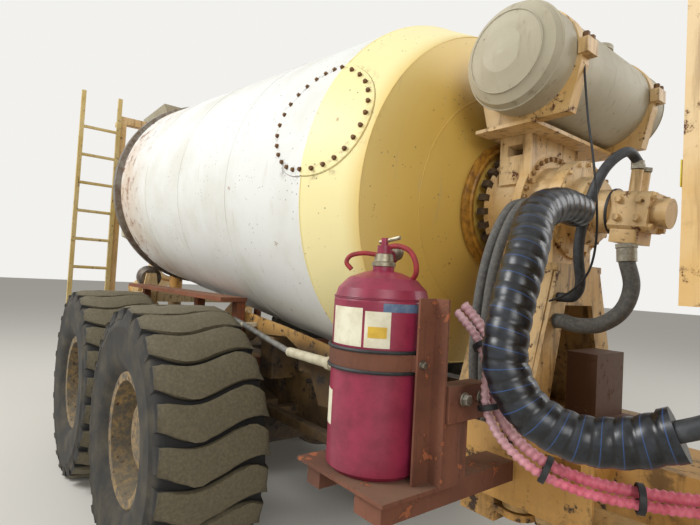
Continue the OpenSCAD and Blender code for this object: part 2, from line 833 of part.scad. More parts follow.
// The collector narrows from beside the mouth down to the width of the chute.
// Its hollow, with t the thickness of the plate, opens at the top and the foot.
collector_half = 600;
collector_low = turret_z + 130;
module collector_body(t) {
    e = t > 0 ? 20 : 0;
    low = collector_low - e;
    rim = mouth_z - mouth_r - 60;
    intersection() {
        across(-collector_half - 1, collector_half + 1)
            polygon([[mouth_x + 20 - t, rim + e], [mouth_x + 20 - t, rim - 60],
                [chute_pin_x + 40 - t, collector_low + 20],
                [chute_pin_x + 40 - t, low], [chute_pin_x - 110 + t, low], [chute_pin_x - 200 + t, rim + 100],
                [chute_pin_x - 200 + t, mouth_z + e]]);
        along(chute_pin_x - 300, mouth_x + 60)
            polygon([[-collector_half + t, mouth_z + e], [collector_half - t, mouth_z + e],
                [collector_half - t, rim + 20], [trough_r - 35 - t, collector_low + 10],
                [trough_r - 35 - t, low],
                [-trough_r + 35 + t, low], [-trough_r + 35 + t, collector_low + 10],
                [-collector_half + t, rim + 20]]);
    }
}

module collector() {
    arm_z = mouth_z - 420;
    color(cream) {
        difference() {
            collector_body(0);
            collector_body(hopper_t);
        }
        both_sides() {
            boxed(mouth_x - 200, mouth_x - 120, collector_half, tower_y - 40, arm_z, arm_z + 50);
            boxed(mouth_x - 200, tower_x - 50, tower_y - 80, tower_y - 40, arm_z, arm_z + 50);
        }
    }
}

// Drum

module drum_shell() {
    hub = stub_r + fit;
    color(white)
        on_drum()
            rotate_extrude($fn = drum_sides)
                polygon([[hub, ring_at + 2], [bearing_r, ring_at + 2], [bearing_r, ring_at + 30],
                    [head_r, head_at], [drum_r, front_at], [drum_r, rear_at], [mouth_r, mouth_at],
                    [mouth_r + 26, mouth_at + 4], [mouth_r + 26, mouth_at + 16],
                    [mouth_r - shell_t, mouth_at + 16],
                    [mouth_r - shell_t, mouth_at], [drum_r - shell_t, rear_at - 4],
                    [drum_r - shell_t, front_at + 4],
                    [head_r - shell_t, head_at + shell_t], [bearing_r - 6, ring_at + 44],
                    [hub, ring_at + 44]]);
}

module drum_track() {
    a = track_at - track_w / 2;
    b = track_at + track_w / 2;
    color(cream)
        on_drum()
            rotate_extrude($fn = drum_sides)
                polygon([[cone_r(a) + 0.1, a], [track_r, a], [track_r, b], [cone_r(b) + 0.1, b]]);
}

// Two spiral blades: ribbons that wind along the inside of the plate
blade_h = 300;
blade_t = 10;
blade_turns = 2;
blade_steps = 64;
blade_from = front_at + 80;
blade_to = mouth_at - 120;
function inside_r(at) = at < rear_at - 10 ? drum_r - shell_t - 0.5 : min(drum_r, cone_r(at)) - shell_t - 6;
function blade_ring(k, start) =
    let (f = k / blade_steps, at = blade_from + f * (blade_to - blade_from),
        a = start + 360 * blade_turns * f, r = inside_r(at), low = r - blade_h * (1 - 0.55 * f))
    [for (c = [[low, -blade_t / 2], [r, -blade_t / 2], [r, blade_t / 2], [low, blade_t / 2]])
        [c[0] * cos(a), c[0] * sin(a), at + c[1]]];

module blade(start) {
    m = blade_steps + 1;
    points = [for (k = [0 : blade_steps]) each blade_ring(k, start)];
    sides = [for (k = [0 : m - 2], j = [0 : 3])
        let (a = 4 * k + j, b = 4 * k + (j + 1) % 4) each [[a, b, b + 4], [a, b + 4, a + 4]]];
    ends = [[3, 2, 1, 0], [for (j = [0 : 3]) 4 * (m - 1) + j]];
    polyhedron(points, [for (f = concat(sides, ends)) [for (j = [len(f) - 1 : -1 : 0]) f[j]]]);
}

module drum_blades() {
    color(steel)
        on_drum()
            for (start = [0, 180])
                blade(start);
}

// Round covers bolted over openings in the drum's side
hatch_angles = [-72, 108];
module drum_hatches() {
    color(white)
        on_drum(front_at + 40)
            for (a = hatch_angles)
                rotate([0, 0, a])
                    intersection() {
                        rotate([0, 90, 0])
                            cylinder(r = hatch_r, h = drum_r + 200);
                        difference() {
                            translate([0, 0, -front_at - 40])
                                rotate_extrude($fn = drum_sides)
                                    hatch_profile(6);
                            translate([0, 0, -front_at - 40])
                                rotate_extrude($fn = drum_sides)
                                    hatch_profile(0);
                        }
                    }
}

module hatch_profile(t) {
    polygon([[0, head_at], [head_r + t, head_at], [drum_r + t, front_at], [drum_r + t, rear_at],
        [0, rear_at]]);
}

module roller(s) {
    color(steel)
        on_drum()
            translate([-roller_low, s * roller_y, track_at])
                difference() {
                    rotate_extrude()
                        polygon([[0, -roller_half], [roller_r - 30, -roller_half],
                            [roller_r, -track_w / 2 - 5],
                            [roller_r, track_w / 2 + 5], [roller_r - 30, roller_half], [0, roller_half]]);
                    cylinder(r = roller_pin_r + fit, h = 4 * roller_half, center = true);
                }
}

module roller_left() { roller(1); }
module roller_right() { roller(-1); }

// Chute turret and chute

turret_arm = 45;
module chute_turret() {
    color(tan) {
        // Sleeve on the post, and two arms that hold the chute's pins
        translate([turret_x, 0, turret_z - 80])
            difference() {
                cylinder(r = turret_r + 25, h = 130);
                translate([0, 0, -1])
                    cylinder(r = turret_r + fit, h = 90);
            }
        difference() {
            boxed(turret_x - 50, turret_x + 10, -trough_r - 65, trough_r + 65, turret_z - 70, turret_z - 10);
            translate([turret_x, 0, turret_z - 90])
                cylinder(r = turret_r + fit, h = 100);
        }
        both_sides()
            difference() {
                boxed(chute_pin_x - 45, turret_x + 10, trough_r + 40, trough_r + 65, turret_z - 70,
                    chute_pin_z + 40);
                rod_across(chute_pin_x, chute_pin_z, 24.5, 0, 2 * trough_r);
            }
    }
}

module turret_post() {
    translate([turret_x, 0, beam_top - 120])
        cylinder(r = turret_r + 20, h = turret_z - 82 - beam_top + 120);
    translate([turret_x, 0, turret_z - 82])
        cylinder(r = turret_r, h = 80);
    boxed(turret_x - 60, -frame_rear + 30, -80, 80, beam_z + 40, beam_top - 120);
}

// The trough hangs on its pins: local X runs down the chute
module chute() {
    color(tan)
        translate([chute_pin_x, 0, chute_pin_z])
            rotate([0, 180 - chute_slope, 0])
                mirror([0, 0, 1]) {
                    difference() {
                        translate([-20, 0, 0])
                            rotate([0, 90, 0])
                                cylinder(r = trough_r, h = chute_len + 20);
                        translate([-21, 0, 0])
                            rotate([0, 90, 0])
                                cylinder(r = trough_r - trough_t, h = chute_len + 22);
                        translate([-22, -trough_r - 1, 0])
                            cube([chute_len + 24, 2 * trough_r + 2, trough_r + 1]);
                    }
                    both_sides()
                        translate([0, trough_r - trough_t, 0])
                            rotate([-90, 0, 0])
                                cylinder(r = 24, h = 76 + trough_t);
                    for (x = [120, chute_len - 40])
                        difference() {
                            translate([x, 0, 0])
                                rotate([0, 90, 0])
                                    cylinder(r = trough_r + 22, h = 12);
                            translate([x - 1, 0, 0])
                                rotate([0, 90, 0])
                                    cylinder(r = trough_r, h = 14);
                            translate([x - 1, -300, 0])
                                cube([14, 600, 300]);
                        }
                }
}

// Front unit

front_rear = pivot_x + 130;
head_half = 250;
cab_x0 = wheelbase - 720;
cab_x1 = wheelbase + 570;
cab_z0 = beam_top + 330;
cab_z1 = beam_top + cab_rise;

eye_y = 360;

module front_frame() {
    color(tan) {
        both_sides() {
            boxed(front_rear + 190, nose_x - 220, beam_y - beam_w / 2, beam_y + beam_w / 2, beam_top - 240,
                beam_top);
            difference() {
                boxed(wheelbase - 150, wheelbase + 150, beam_y - beam_w / 2, beam_y + beam_w / 2,
                    axle_z + 60, beam_top - 240);
                rod_across(wheelbase, axle_z, tube_r, 0, 2 * beam_y);
            }
        }
        // Head block with the lug that turns on the pivot pin
        difference() {
            union() {
                boxed(front_rear, front_rear + 200, -head_half, head_half, lug_low, lug_top);
                boxed(front_rear + 190, front_rear + 260, -beam_y - beam_w / 2, beam_y + beam_w / 2,
                    lug_low, lug_top);
                translate([0, 0, lug_low])
                    linear_extrude(lug_top - lug_low)
                        union() {
                            translate([pivot_x, 0])
                                circle(r = 125);
                            polygon([[pivot_x, -124], [front_rear + 10, -180], [front_rear + 10, 180],
                                [pivot_x, 124]]);
                        }
            }
            translate([pivot_x, 0, 0])
                cylinder(r = pivot_r + fit, h = 3000);
        }
        for (x = [wheelbase - 560, wheelbase + 420, nose_x - 500])
            boxed(x, x + 120, -beam_y + beam_w / 2, beam_y - beam_w / 2, beam_top - 200, beam_top - 40);
        both_sides()
            ram_clevis();
        // Bumper
        boxed(nose_x - 220, nose_x, -hood_half - 330, hood_half + 330, beam_top - 380, beam_top - 60);
        // Towing eyes under the bumper
        both_sides()
            difference() {
                boxed(nose_x - 190, nose_x - 50, eye_y - 20, eye_y + 20, beam_top - 470, beam_top - 380);
                rod_across(nose_x - 120, beam_top - 430, eye_r, eye_y - 30, eye_y + 30);
            }
        // Mounts under the cab
        for (x = [cab_x0 + 60, cab_x1 - 200])
            boxed(x, x + 140, -cab_half + 60, cab_half - 60, beam_top, cab_z0);
        both_sides()
            hood_bracket();
    }
}

// Two plates that hold the eye of a steering rod, with the pin's heads outside
module ram_clevis() {
    x = pivot_x + ram_arm_x;
    for (z = [ram_z - eye_half - eye_gap - 25, ram_z + eye_half + eye_gap])
        translate([0, 0, z])
            linear_extrude(25)
                union() {
                    translate([x, ram_arm_y])
                        circle(r = 62);
                    polygon([[x, ram_arm_y - 62], [front_rear + 5, head_half - 40],
                        [front_rear + 60, head_half - 5],
                        [x + 55, ram_arm_y + 30], [x, ram_arm_y + 62]]);
                }
    for (z = [ram_z - eye_half - eye_gap - 37, ram_z + eye_half + eye_gap + 25])
        translate([x, ram_arm_y, z])
            cylinder(r = 34, h = 12);
}

// Hinge of the bonnet at the foot of the nose
hinge_x = nose_x - 120;
hinge_z = beam_top + 60;
hinge_r = 18;
module hood_bracket() {
    boxed(hinge_x - 40, hinge_x + 40, 480, 510, beam_top - 60, hinge_z + 30);
    rod_across(hinge_x, hinge_z, hinge_r, 510, 580);
}

module front_axle() {
    color(tan)
        axle_at(wheelbase);
}

engine_x0 = cab_x1 + 90;
module engine_block() {
    color(dark) {
        boxed(engine_x0, nose_x - 620, -270, 270, beam_top - 160, beam_top + 700);
        boxed(nose_x - 520, nose_x - 420, -560, 560, beam_top, beam_top + 760);
        // Mounts that carry the block between the beams
        for (x = [engine_x0 + 200, nose_x - 900])
            boxed(x, x + 120, -beam_y + beam_w / 2, beam_y - beam_w / 2, beam_top - 120, beam_top - 60);
    }
}

hood_x0 = cab_x1 + 60;
hood_z0 = beam_top + 90;
hood_back = beam_top + 1080;
hood_nose = beam_top + 860;
module hood_outline(t) {
    polygon([[hood_x0 + (t > 0 ? -1 : 0), hood_z0 - (t > 0 ? 1 : 0)],
        [nose_x - 40 - t, hood_z0 - (t > 0 ? 1 : 0)],
        [nose_x - 110 - t, hood_nose - 160 - t], [nose_x - 300 - t, hood_nose - t],
        [hood_x0 + (t > 0 ? -1 : 0), hood_back - t]]);
}

module bonnet() {
    half = hood_half;
    color(tan) {
        difference() {
            across(-half, half)
                hood_outline(0);
            across(-half + hood_t, half - hood_t)
                hood_outline(hood_t);
            // Grille opening in the nose and vents in the sides
            boxed(nose_x - 240, nose_x + 20, -480, 480, hood_z0 + 120, hood_nose - 200);
            for (s = [-1, 1], x = [hood_x0 + 300 : 90 : hood_x0 + 1100])
                boxed(x, x + 45, s * half - 40, s * half + 40, hood_z0 + 240, hood_z0 + 560);
        }
        // Bars of the grille
        for (z = [hood_z0 + 170 : 75 : hood_nose - 240])
            boxed(nose_x - 125, nose_x - 95, -490, 490, z, z + 22);
        for (y = [-485, 465])
            boxed(nose_x - 130, nose_x - 70, y, y + 20, hood_z0 + 100, hood_nose - 190);
        // Hinge ears
        both_sides()
            difference() {
                union() {
                    boxed(hinge_x - 30, nose_x - 50, 520, 560, hood_z0, hood_z0 + 60);
                    boxed(hinge_x - 30, hinge_x + 30, 520, 560, hinge_z - 30, hood_z0 + 10);
                }
                rod_across(hinge_x, hinge_z, hinge_r + fit, 400, 700);
            }
    }
}

module front_guards() {
    r = tyre_r + 70;
    inner = wheel_y - tyre_w / 2 - 10;
    outer = wheel_y + tyre_w / 2;
    color(tan)
        both_sides() {
            // Arched guard over the tyre, in flat facets
            translate([0, outer, 0])
                rotate([90, 0, 0])
                    linear_extrude(outer - inner)
                        polygon(concat(
                            [for (a = [15 : 15 : 165]) [wheelbase, axle_z] + (r + 12) * [cos(a), sin(a)]],
                            [for (a = [165 : -15 : 15]) [wheelbase, axle_z] + r * [cos(a), sin(a)]]));
            // Brackets under the cab back to the frame
            for (x = [wheelbase - 90, wheelbase + 10]) {
                boxed(x, x + 80, frame_out, inner - 3, cab_z0 - 90, cab_z0 - 40);
                boxed(x, x + 80, inner - 28, inner - 3, cab_z0 - 90, axle_z + r + 6);
                boxed(x, x + 80, inner - 28, inner + 60, axle_z + r + 6, axle_z + r + 18);
                boxed(x, x + 80, frame_out, frame_out + 40, beam_top - 120, cab_z0 - 40);
            }
            // Two steps behind the guard
            for (z = [beam_top - 420, beam_top - 140])
                boxed(wheelbase - r - 240, wheelbase - r + 10, frame_out + 45, outer - 180, z, z + 30);
            boxed(wheelbase - r - 50, wheelbase - r + 10, frame_out, frame_out + 50,
                beam_top - 420, beam_top - 110);
        }
}

// Cooler module at the right rear corner of the front unit, with grilles and a reflective band
module cooler_tower() {
    x0 = pivot_x - 270;
    x1 = pivot_x + 330;
    y0 = -1120;
    y1 = -680;
    z0 = beam_top + 570;
    z1 = beam_top + 1180;
    color(tan) {
        difference() {
            boxed(x0, x1, y0, y1, z0, z1);
            boxed(x0 + 20, x1 - 20, y0 + 20, y1 - 20, z0 + 20, z1 - 20);
            for (z = [z0 + 70 : 60 : z1 - 100]) {
                boxed(x0 - 10, x0 + 30, y0 + 60, y1 - 60, z, z + 30);
                boxed(x0 + 80, x1 - 80, y0 - 10, y0 + 30, z, z + 30);
            }
        }
        // Legs down to the frame, clear of the tyre
        boxed(x0 + 300, x1 - 20, y1 - 60, y1, beam_top + 40, z0);
        boxed(x1 - 140, x1 + 80, -frame_out - 260, -beam_y + 40, beam_top, beam_top + 40);
        translate([x0 + 190, (y0 + y1) / 2, z1])
            cylinder(r = 70, h = 60);
        translate([x0 + 190, (y0 + y1) / 2, z1 + 60])
            cylinder(r = 105, h = 90);
    }
}

module side_tank() {
    x0 = pivot_x + 60;
    color(tan) {
        boxed(x0, pivot_x + 420, 640, 1080, beam_top - 60, beam_top + 640);
        boxed(x0 + 270, x0 + 355, frame_out, 680, beam_top - 100, beam_top - 60);
        translate([x0 + 120, 860, beam_top + 640])
            cylinder(r = 50, h = 40);
    }
}

module exhaust() {
    x = cab_x0 - 150;
    color(rust) {
        translate([x, 500, beam_top])
            cylinder(r = 90, h = 900);
        translate([x, 500, beam_top + 900])
            cylinder(r = 50, h = 1050);
        boxed(x - 60, x + 60, beam_y + beam_w / 2, 560, beam_top - 60, beam_top);
    }
}

module lamps() {
    color(white) {
        both_sides() {
            // Headlamps in the bumper, work lamps on the roof, tail lamps at the rear
            rod_along(560, beam_top - 200, 85, nose_x, nose_x + lamp_t);
            boxed(cab_x1 - 190, cab_x1 - 110, 480, 620, cab_z1, cab_z1 + 110);
        }
    }
}

// Cab: a hollow shell, its windows and a door on the left

module cab_side(t) {
    polygon([[cab_x0 + t, cab_z0 + t], [cab_x1 - 60 - t, cab_z0 + t], [cab_x1 - t, cab_z0 + 850],
        [cab_x1 - 150 - t, cab_z1 - t], [cab_x0 + t, cab_z1 - t]]);
}

door_x0 = cab_x0 + 430;
door_x1 = cab_x1 - 110;
door_z0 = cab_z0 + 150;
door_z1 = cab_z1 - 130;
sill_z = cab_z0 + 800;
pillar = 70;

// Outline of the door with each edge moved in by t
module door_outline(t) {
    polygon([[door_x0 + t, door_z0 + t], [door_x1 - t, door_z0 + t], [door_x1 - t, sill_z],
        [door_x1 - 100 - t, door_z1 - t], [door_x0 + t, door_z1 - t]]);
}

module door_window(t) {
    polygon([[door_x0 + 75 + t, sill_z - 120 + t], [door_x1 - 70 - t, sill_z - 120 + t],
        [door_x1 - 85 - t, sill_z + 60], [door_x1 - 170 - t, door_z1 - 70 - t],
        [door_x0 + 75 + t, door_z1 - 70 - t]]);
}

module rear_side_window() {
    polygon([[cab_x0 + 90, sill_z - 120], [door_x0 - 60, sill_z - 120], [door_x0 - 60, door_z1 - 70],
        [cab_x0 + 90, door_z1 - 70]]);
}

beacon_x = cab_x0 + 260;

module cab_shell() {
    color(tan) {
        door_pins();
        difference() {
            across(-cab_half, cab_half)
                cab_side(0);
            across(-cab_half + cab_t, cab_half - cab_t)
                cab_side(cab_t);
            // Door opening on the left, window openings on both sides
            across(cab_half - cab_t - 1, cab_half + 1)
                door_outline(-gap);
            across(-cab_half - 1, -cab_half + cab_t + 1)
                door_window(0);
            across(cab_half - cab_t - 1, cab_half + 1)
                rear_side_window();
            across(-cab_half - 1, -cab_half + cab_t + 1)
                rear_side_window();
            // Windscreen and rear window
            boxed(cab_x1 - 260, cab_x1 + 10, -cab_half + 90, cab_half - 90, sill_z + 70, cab_z1 - 150);
            boxed(cab_x0 - 10, cab_x0 + cab_t + 10, -cab_half + 150, cab_half - 150, sill_z, cab_z1 - 200);
            // Holes for a beacon on the roof
            for (k = [0 : 3])
                translate([beacon_x, 0, cab_z1 - cab_t - 1])
                    rotate([0, 0, 45 + 90 * k])
                        translate([beacon_pcd / 2, 0, 0])
                            cylinder(r = beacon_hole_r, h = cab_t + 2);
        }
    }
}

module cab_glass() {
    mid = cab_t / 2;
    lean = (150) / (cab_z1 - cab_z0 - 850);
    wz0 = sill_z + 70;
    wz1 = cab_z1 - 150;
    wx0 = cab_x1 - (wz0 - cab_z0 - 850) * lean - mid;
    wx1 = cab_x1 - (wz1 - cab_z0 - 850) * lean - mid;
    color("#9fb4bd") {
        across(-cab_half + 90, cab_half - 90)
            polygon([[wx0, wz0], [wx1, wz1], [wx1 - glass_t, wz1], [wx0 - glass_t, wz0]]);
        boxed(cab_x0 + mid, cab_x0 + mid + glass_t, -cab_half + 150, cab_half - 150, sill_z, cab_z1 - 200);
        across(-cab_half + mid, -cab_half + mid + glass_t)
            door_window(0);
        across(-cab_half + mid, -cab_half + mid + glass_t)
            rear_side_window();
        across(cab_half - mid - glass_t, cab_half - mid)
            rear_side_window();
    }
}

// The door hangs on two knuckles outside its rear edge
knuckle_x = door_x0 - 4;
knuckle_y = cab_half + 14;
knuckle_r = 13;
knuckle_zs = [door_z0 + 120, sill_z + 20];
door_pin_r = 6;

module cab_door() {
    color(tan) {
        difference() {
            across(cab_half - cab_t, cab_half)
                door_outline(0);
            across(cab_half - cab_t - 1, cab_half + 1)
                door_window(0);
        }
        for (z = knuckle_zs)
            difference() {
                union() {
                    translate([knuckle_x, knuckle_y, z])
                        cylinder(r = knuckle_r, h = 40);
                    boxed(knuckle_x, knuckle_x + 60, cab_half, cab_half + 10, z, z + 40);
                }
                translate([knuckle_x, knuckle_y, z - 1])
                    cylinder(r = door_pin_r + fit, h = 42);
            }
        boxed(door_x1 - 90, door_x1 - 40, cab_half, cab_half + 35, sill_z - 220, sill_z - 195);
    }
}

module door_glass() {
    color("#9fb4bd")
        across(cab_half - cab_t / 2 - glass_t, cab_half - cab_t / 2)
            door_window(0);
}

// Hinge pins on the cab
module door_pins() {
    for (z = knuckle_zs) {
        translate([knuckle_x, knuckle_y, z - 20])
            cylinder(r = door_pin_r, h = 60);
        translate([knuckle_x, knuckle_y, z - 30])
            cylinder(r = knuckle_r, h = 28);
        boxed(knuckle_x - 70, knuckle_x, cab_half, cab_half + 10, z - 30, z - 2);
    }
}

module cab_inside() {
    floor_z = cab_z0 + cab_t;
    x = cab_x0 + 420;
    color(dark) {
        // Seat on its pedestal
        boxed(x - 150, x + 150, -150, 150, floor_z, floor_z + 330);
        boxed(x - 220, x + 260, -250, 250, floor_z + 330, floor_z + 450);
        boxed(x - 300, x - 180, -240, 240, floor_z + 450, floor_z + 1100);
        // Dash and column with the wheel
        boxed(cab_x1 - 300, cab_x1 - 140, -500, 500, floor_z, floor_z + 700);
        translate([cab_x1 - 300, 0, floor_z + 600])
            rotate([0, -35, 0]) {
                cylinder(r = 30, h = 190);
                translate([0, 0, 180])
                    difference() {
                        cylinder(r = 215, h = 28);
                        translate([0, 0, -1])
                            cylinder(r = 180, h = 30);
                    }
                translate([-20, -190, 184])
                    cube([40, 380, 16]);
            }
    }
}

module handrails() {
    y = cab_half + 60;
    color(lemon)
        both_sides() {
            for (x = [cab_x0 + 20, cab_x0 + 330]) {
                translate([x, y, cab_z0 + 60])
                    cylinder(r = 16, h = 1200);
                for (z = [cab_z0 + 80, cab_z0 + 1220])
                    rod_across(x, z, 14, cab_half, y);
            }
            // Mirror on its arm
            rod_across(cab_x1 - 165, cab_z1 - 100, 14, cab_half, cab_half + 290);
            boxed(cab_x1 - 190, cab_x1 - 140, cab_half + 190, cab_half + 370, cab_z1 - 430, cab_z1 - 114);
        }
}

// Steering cylinders: local X runs from the base pin to the rod's eye

ram_turn = atan2(ram_arm_y - ram_base_y, pivot_x + ram_arm_x - ram_base_x);
ram_reach = norm([ram_arm_y - ram_base_y, pivot_x + ram_arm_x - ram_base_x]);

module ram_place(s) {
    translate([ram_base_x, s * ram_base_y, ram_z])
        rotate([0, 0, s * ram_turn])
            children();
}

module ram_barrel(s) {
    color(tan)
        ram_place(s) {
            difference() {
                union() {
                    cylinder(r = 62, h = 2 * eye_half, center = true);
                    rotate([0, 90, 0])
                        cylinder(r = eye_half - 1, h = 100);
                    translate([90, 0, 0])
                        rotate([0, 90, 0])
                            cylinder(r = ram_r, h = barrel_len - 90);
                }
                cylinder(r = ram_pin_r + fit, h = 200, center = true);
                translate([120, 0, 0])
                    rotate([0, 90, 0])
                        cylinder(r = ram_r - 12, h = barrel_len - 160);
                translate([100, 0, 0])
                    rotate([0, 90, 0])
                        cylinder(r = rod_r + fit, h = barrel_len);
            }
        }
}

module ram_rod(s) {
    inside = 390;
    color(steel)
        ram_place(s) {
            translate([inside, 0, 0])
                rotate([0, 90, 0])
                    cylinder(r = rod_r, h = ram_reach - inside - 30);
            translate([inside, 0, 0])
                rotate([0, 90, 0])
                    cylinder(r = ram_r - 12 - fit, h = 40);
            translate([ram_reach, 0, 0])
                cylinder(r = 52, h = 2 * eye_half, center = true);
        }
}

module ram_barrel_left() { ram_barrel(1); }
module ram_barrel_right() { ram_barrel(-1); }
module ram_rod_left() { ram_rod(1); }
module ram_rod_right() { ram_rod(-1); }

// Centres the whole machine over the origin
module placed() {
    translate([-centre_x, 0, 0])
        children();
}

placed() rear_frame();
placed() bogie();
placed() front_pedestal();
placed() drum_gearbox();
placed() drum_motor();
placed() water_tank();
placed() tank_cradle();
placed() fire_bottle();
placed() bottle_stand();
placed() hose_bundle();
placed() conduits();
placed() motor_hoses();
placed() rear_pedestal();
placed() ladder();
placed() side_decks();
placed() hopper();
placed() collector();
placed() drum_shell();
placed() drum_blades();
placed() drum_track();
placed() drum_hatches();
placed() roller_left();
placed() roller_right();
placed() chute_turret();
placed() chute();
placed() front_frame();
placed() front_axle();
placed() engine_block();
placed() bonnet();
placed() front_guards();
placed() cooler_tower();
placed() side_tank();
placed() exhaust();
placed() lamps();
placed() cab_shell();
placed() cab_glass();
placed() cab_door();
placed() door_glass();
placed() cab_inside();
placed() handrails();
placed() ram_barrel_left();
placed() ram_barrel_right();
placed() ram_rod_left();
placed() ram_rod_right();
placed() tyre_at(wheel_xs[0], 1);  // tyre_front_left
placed() rim_at(wheel_xs[0], 1);  // rim_front_left
placed() tyre_at(wheel_xs[0], -1);  // tyre_front_right
placed() rim_at(wheel_xs[0], -1);  // rim_front_right
placed() tyre_at(wheel_xs[1], 1);  // tyre_mid_left
placed() rim_at(wheel_xs[1], 1);  // rim_mid_left
placed() tyre_at(wheel_xs[1], -1);  // tyre_mid_right
placed() rim_at(wheel_xs[1], -1);  // rim_mid_right
placed() tyre_at(wheel_xs[2], 1);  // tyre_rear_left
placed() rim_at(wheel_xs[2], 1);  // rim_rear_left
placed() tyre_at(wheel_xs[2], -1);  // tyre_rear_right
placed() rim_at(wheel_xs[2], -1);  // rim_rear_right
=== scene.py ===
import json
from functools import partial, reduce
from math import atan, atan2, cos, degrees, hypot, pi, radians, sin

import bmesh
import bpy
from mathutils import Matrix, Vector


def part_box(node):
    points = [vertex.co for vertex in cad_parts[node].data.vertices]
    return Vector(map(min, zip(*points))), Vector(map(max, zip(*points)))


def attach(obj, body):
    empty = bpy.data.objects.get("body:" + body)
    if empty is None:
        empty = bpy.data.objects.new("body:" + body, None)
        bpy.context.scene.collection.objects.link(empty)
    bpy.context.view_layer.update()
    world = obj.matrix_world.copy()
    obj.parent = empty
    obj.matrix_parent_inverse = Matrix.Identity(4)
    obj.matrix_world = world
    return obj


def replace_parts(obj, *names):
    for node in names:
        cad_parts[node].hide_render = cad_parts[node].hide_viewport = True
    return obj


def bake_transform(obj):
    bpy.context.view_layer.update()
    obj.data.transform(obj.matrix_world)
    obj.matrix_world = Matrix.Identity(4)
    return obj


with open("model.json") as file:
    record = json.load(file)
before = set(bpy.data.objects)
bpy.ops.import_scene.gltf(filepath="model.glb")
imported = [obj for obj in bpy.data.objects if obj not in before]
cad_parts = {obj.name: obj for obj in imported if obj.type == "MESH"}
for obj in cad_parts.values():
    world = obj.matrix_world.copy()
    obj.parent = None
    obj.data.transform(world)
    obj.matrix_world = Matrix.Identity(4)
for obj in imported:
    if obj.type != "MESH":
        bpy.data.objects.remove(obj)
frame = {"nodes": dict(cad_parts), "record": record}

scene = bpy.context.scene
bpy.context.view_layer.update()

# Stations in millimetres are counted from the middle axle, as the part's source counts them
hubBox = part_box("rim_mid_left")
middleX = (hubBox[0].x + hubBox[1].x) / 2


def at(x, y, z):  # a station in millimetres as a point of the scene in metres
    return Vector((middleX + x / 1000, y / 1000, z / 1000))


def linear(hexColour):  # sRGB hex to linear, with alpha 1
    parts = [int(hexColour[i:i + 2], 16) / 255 for i in (1, 3, 5)]
    return [c / 12.92 if c < 0.04045 else ((c + 0.055) / 1.055) ** 2.4 for c in parts] + [1.0]


def perMetre(mm):  # noise scale for a pattern whose features are this many millimetres
    return 1000 / mm


# How these nodes are set unless a call says otherwise
usual = {"Math": {"use_clamp": True}, "Mix": {"data_type": "RGBA"},
         "MapRange": {"interpolation_type": "SMOOTHSTEP"}}


# A node by its kind and operation. Its inputs are given in order, or by name in a dictionary, and
# it gives back its first output, or the one that out names
def addNode(tree, kind, *values, out=None, **settings):
    kind, *operation = kind.split()
    node = tree.nodes.new("ShaderNode" + kind)
    if operation:
        node.operation = operation[0]
    for key, value in {**usual.get(kind, {}), **settings}.items():
        setattr(node, key, value)
    if values and isinstance(values[0], dict):
        pairs = [(node.inputs[socket], value) for socket, value in values[0].items()]
    else:
        pairs = zip([socket for socket in node.inputs if socket.enabled], values)
    for socket, value in pairs:
        if isinstance(value, bpy.types.NodeSocket):
            tree.links.new(value, socket)
        else:
            socket.default_value = value
    shown = [socket for socket in node.outputs if socket.enabled]
    return node.outputs[out] if out else (shown or [None])[0]


def startMaterial(name):  # gives the function that adds a node to it
    material = bpy.data.materials.new(name)
    material.use_nodes = True
    material.node_tree.nodes.clear()
    return partial(addNode, material.node_tree)


def mask(add, *shares):  # where all of these meet: (value, low, high) eased from 0 to 1, or a share as it is
    eased = [add("MapRange", *share) if isinstance(share, tuple) else share for share in shares]
    return reduce(partial(add, "Math MULTIPLY"), eased)


def lay(add, colour, over, *shares):  # a hex colour over another where the shares meet
    return add("Mix", mask(add, *shares), colour, linear(over))


def roughened(add, rough, pattern, share):
    return add("Math ADD", rough, add("Math MULTIPLY", pattern, share))


def finishMaterial(add, colour, rough, height, depth, s):
    bump = add("Bump", {"Height": height, "Strength": s.get("bump", 0.5), "Distance": depth})
    shader = add("BsdfPrincipled", {
        "Base Color": colour, "Roughness": rough, "Normal": bump, "Metallic": s.get("metallic", 0.0),
        "Coat Weight": s.get("coat", 0.0), "Coat Roughness": 0.2, "Transmission Weight": s.get("clear", 0.0)})
    add("OutputMaterial", {"Surface": shader})


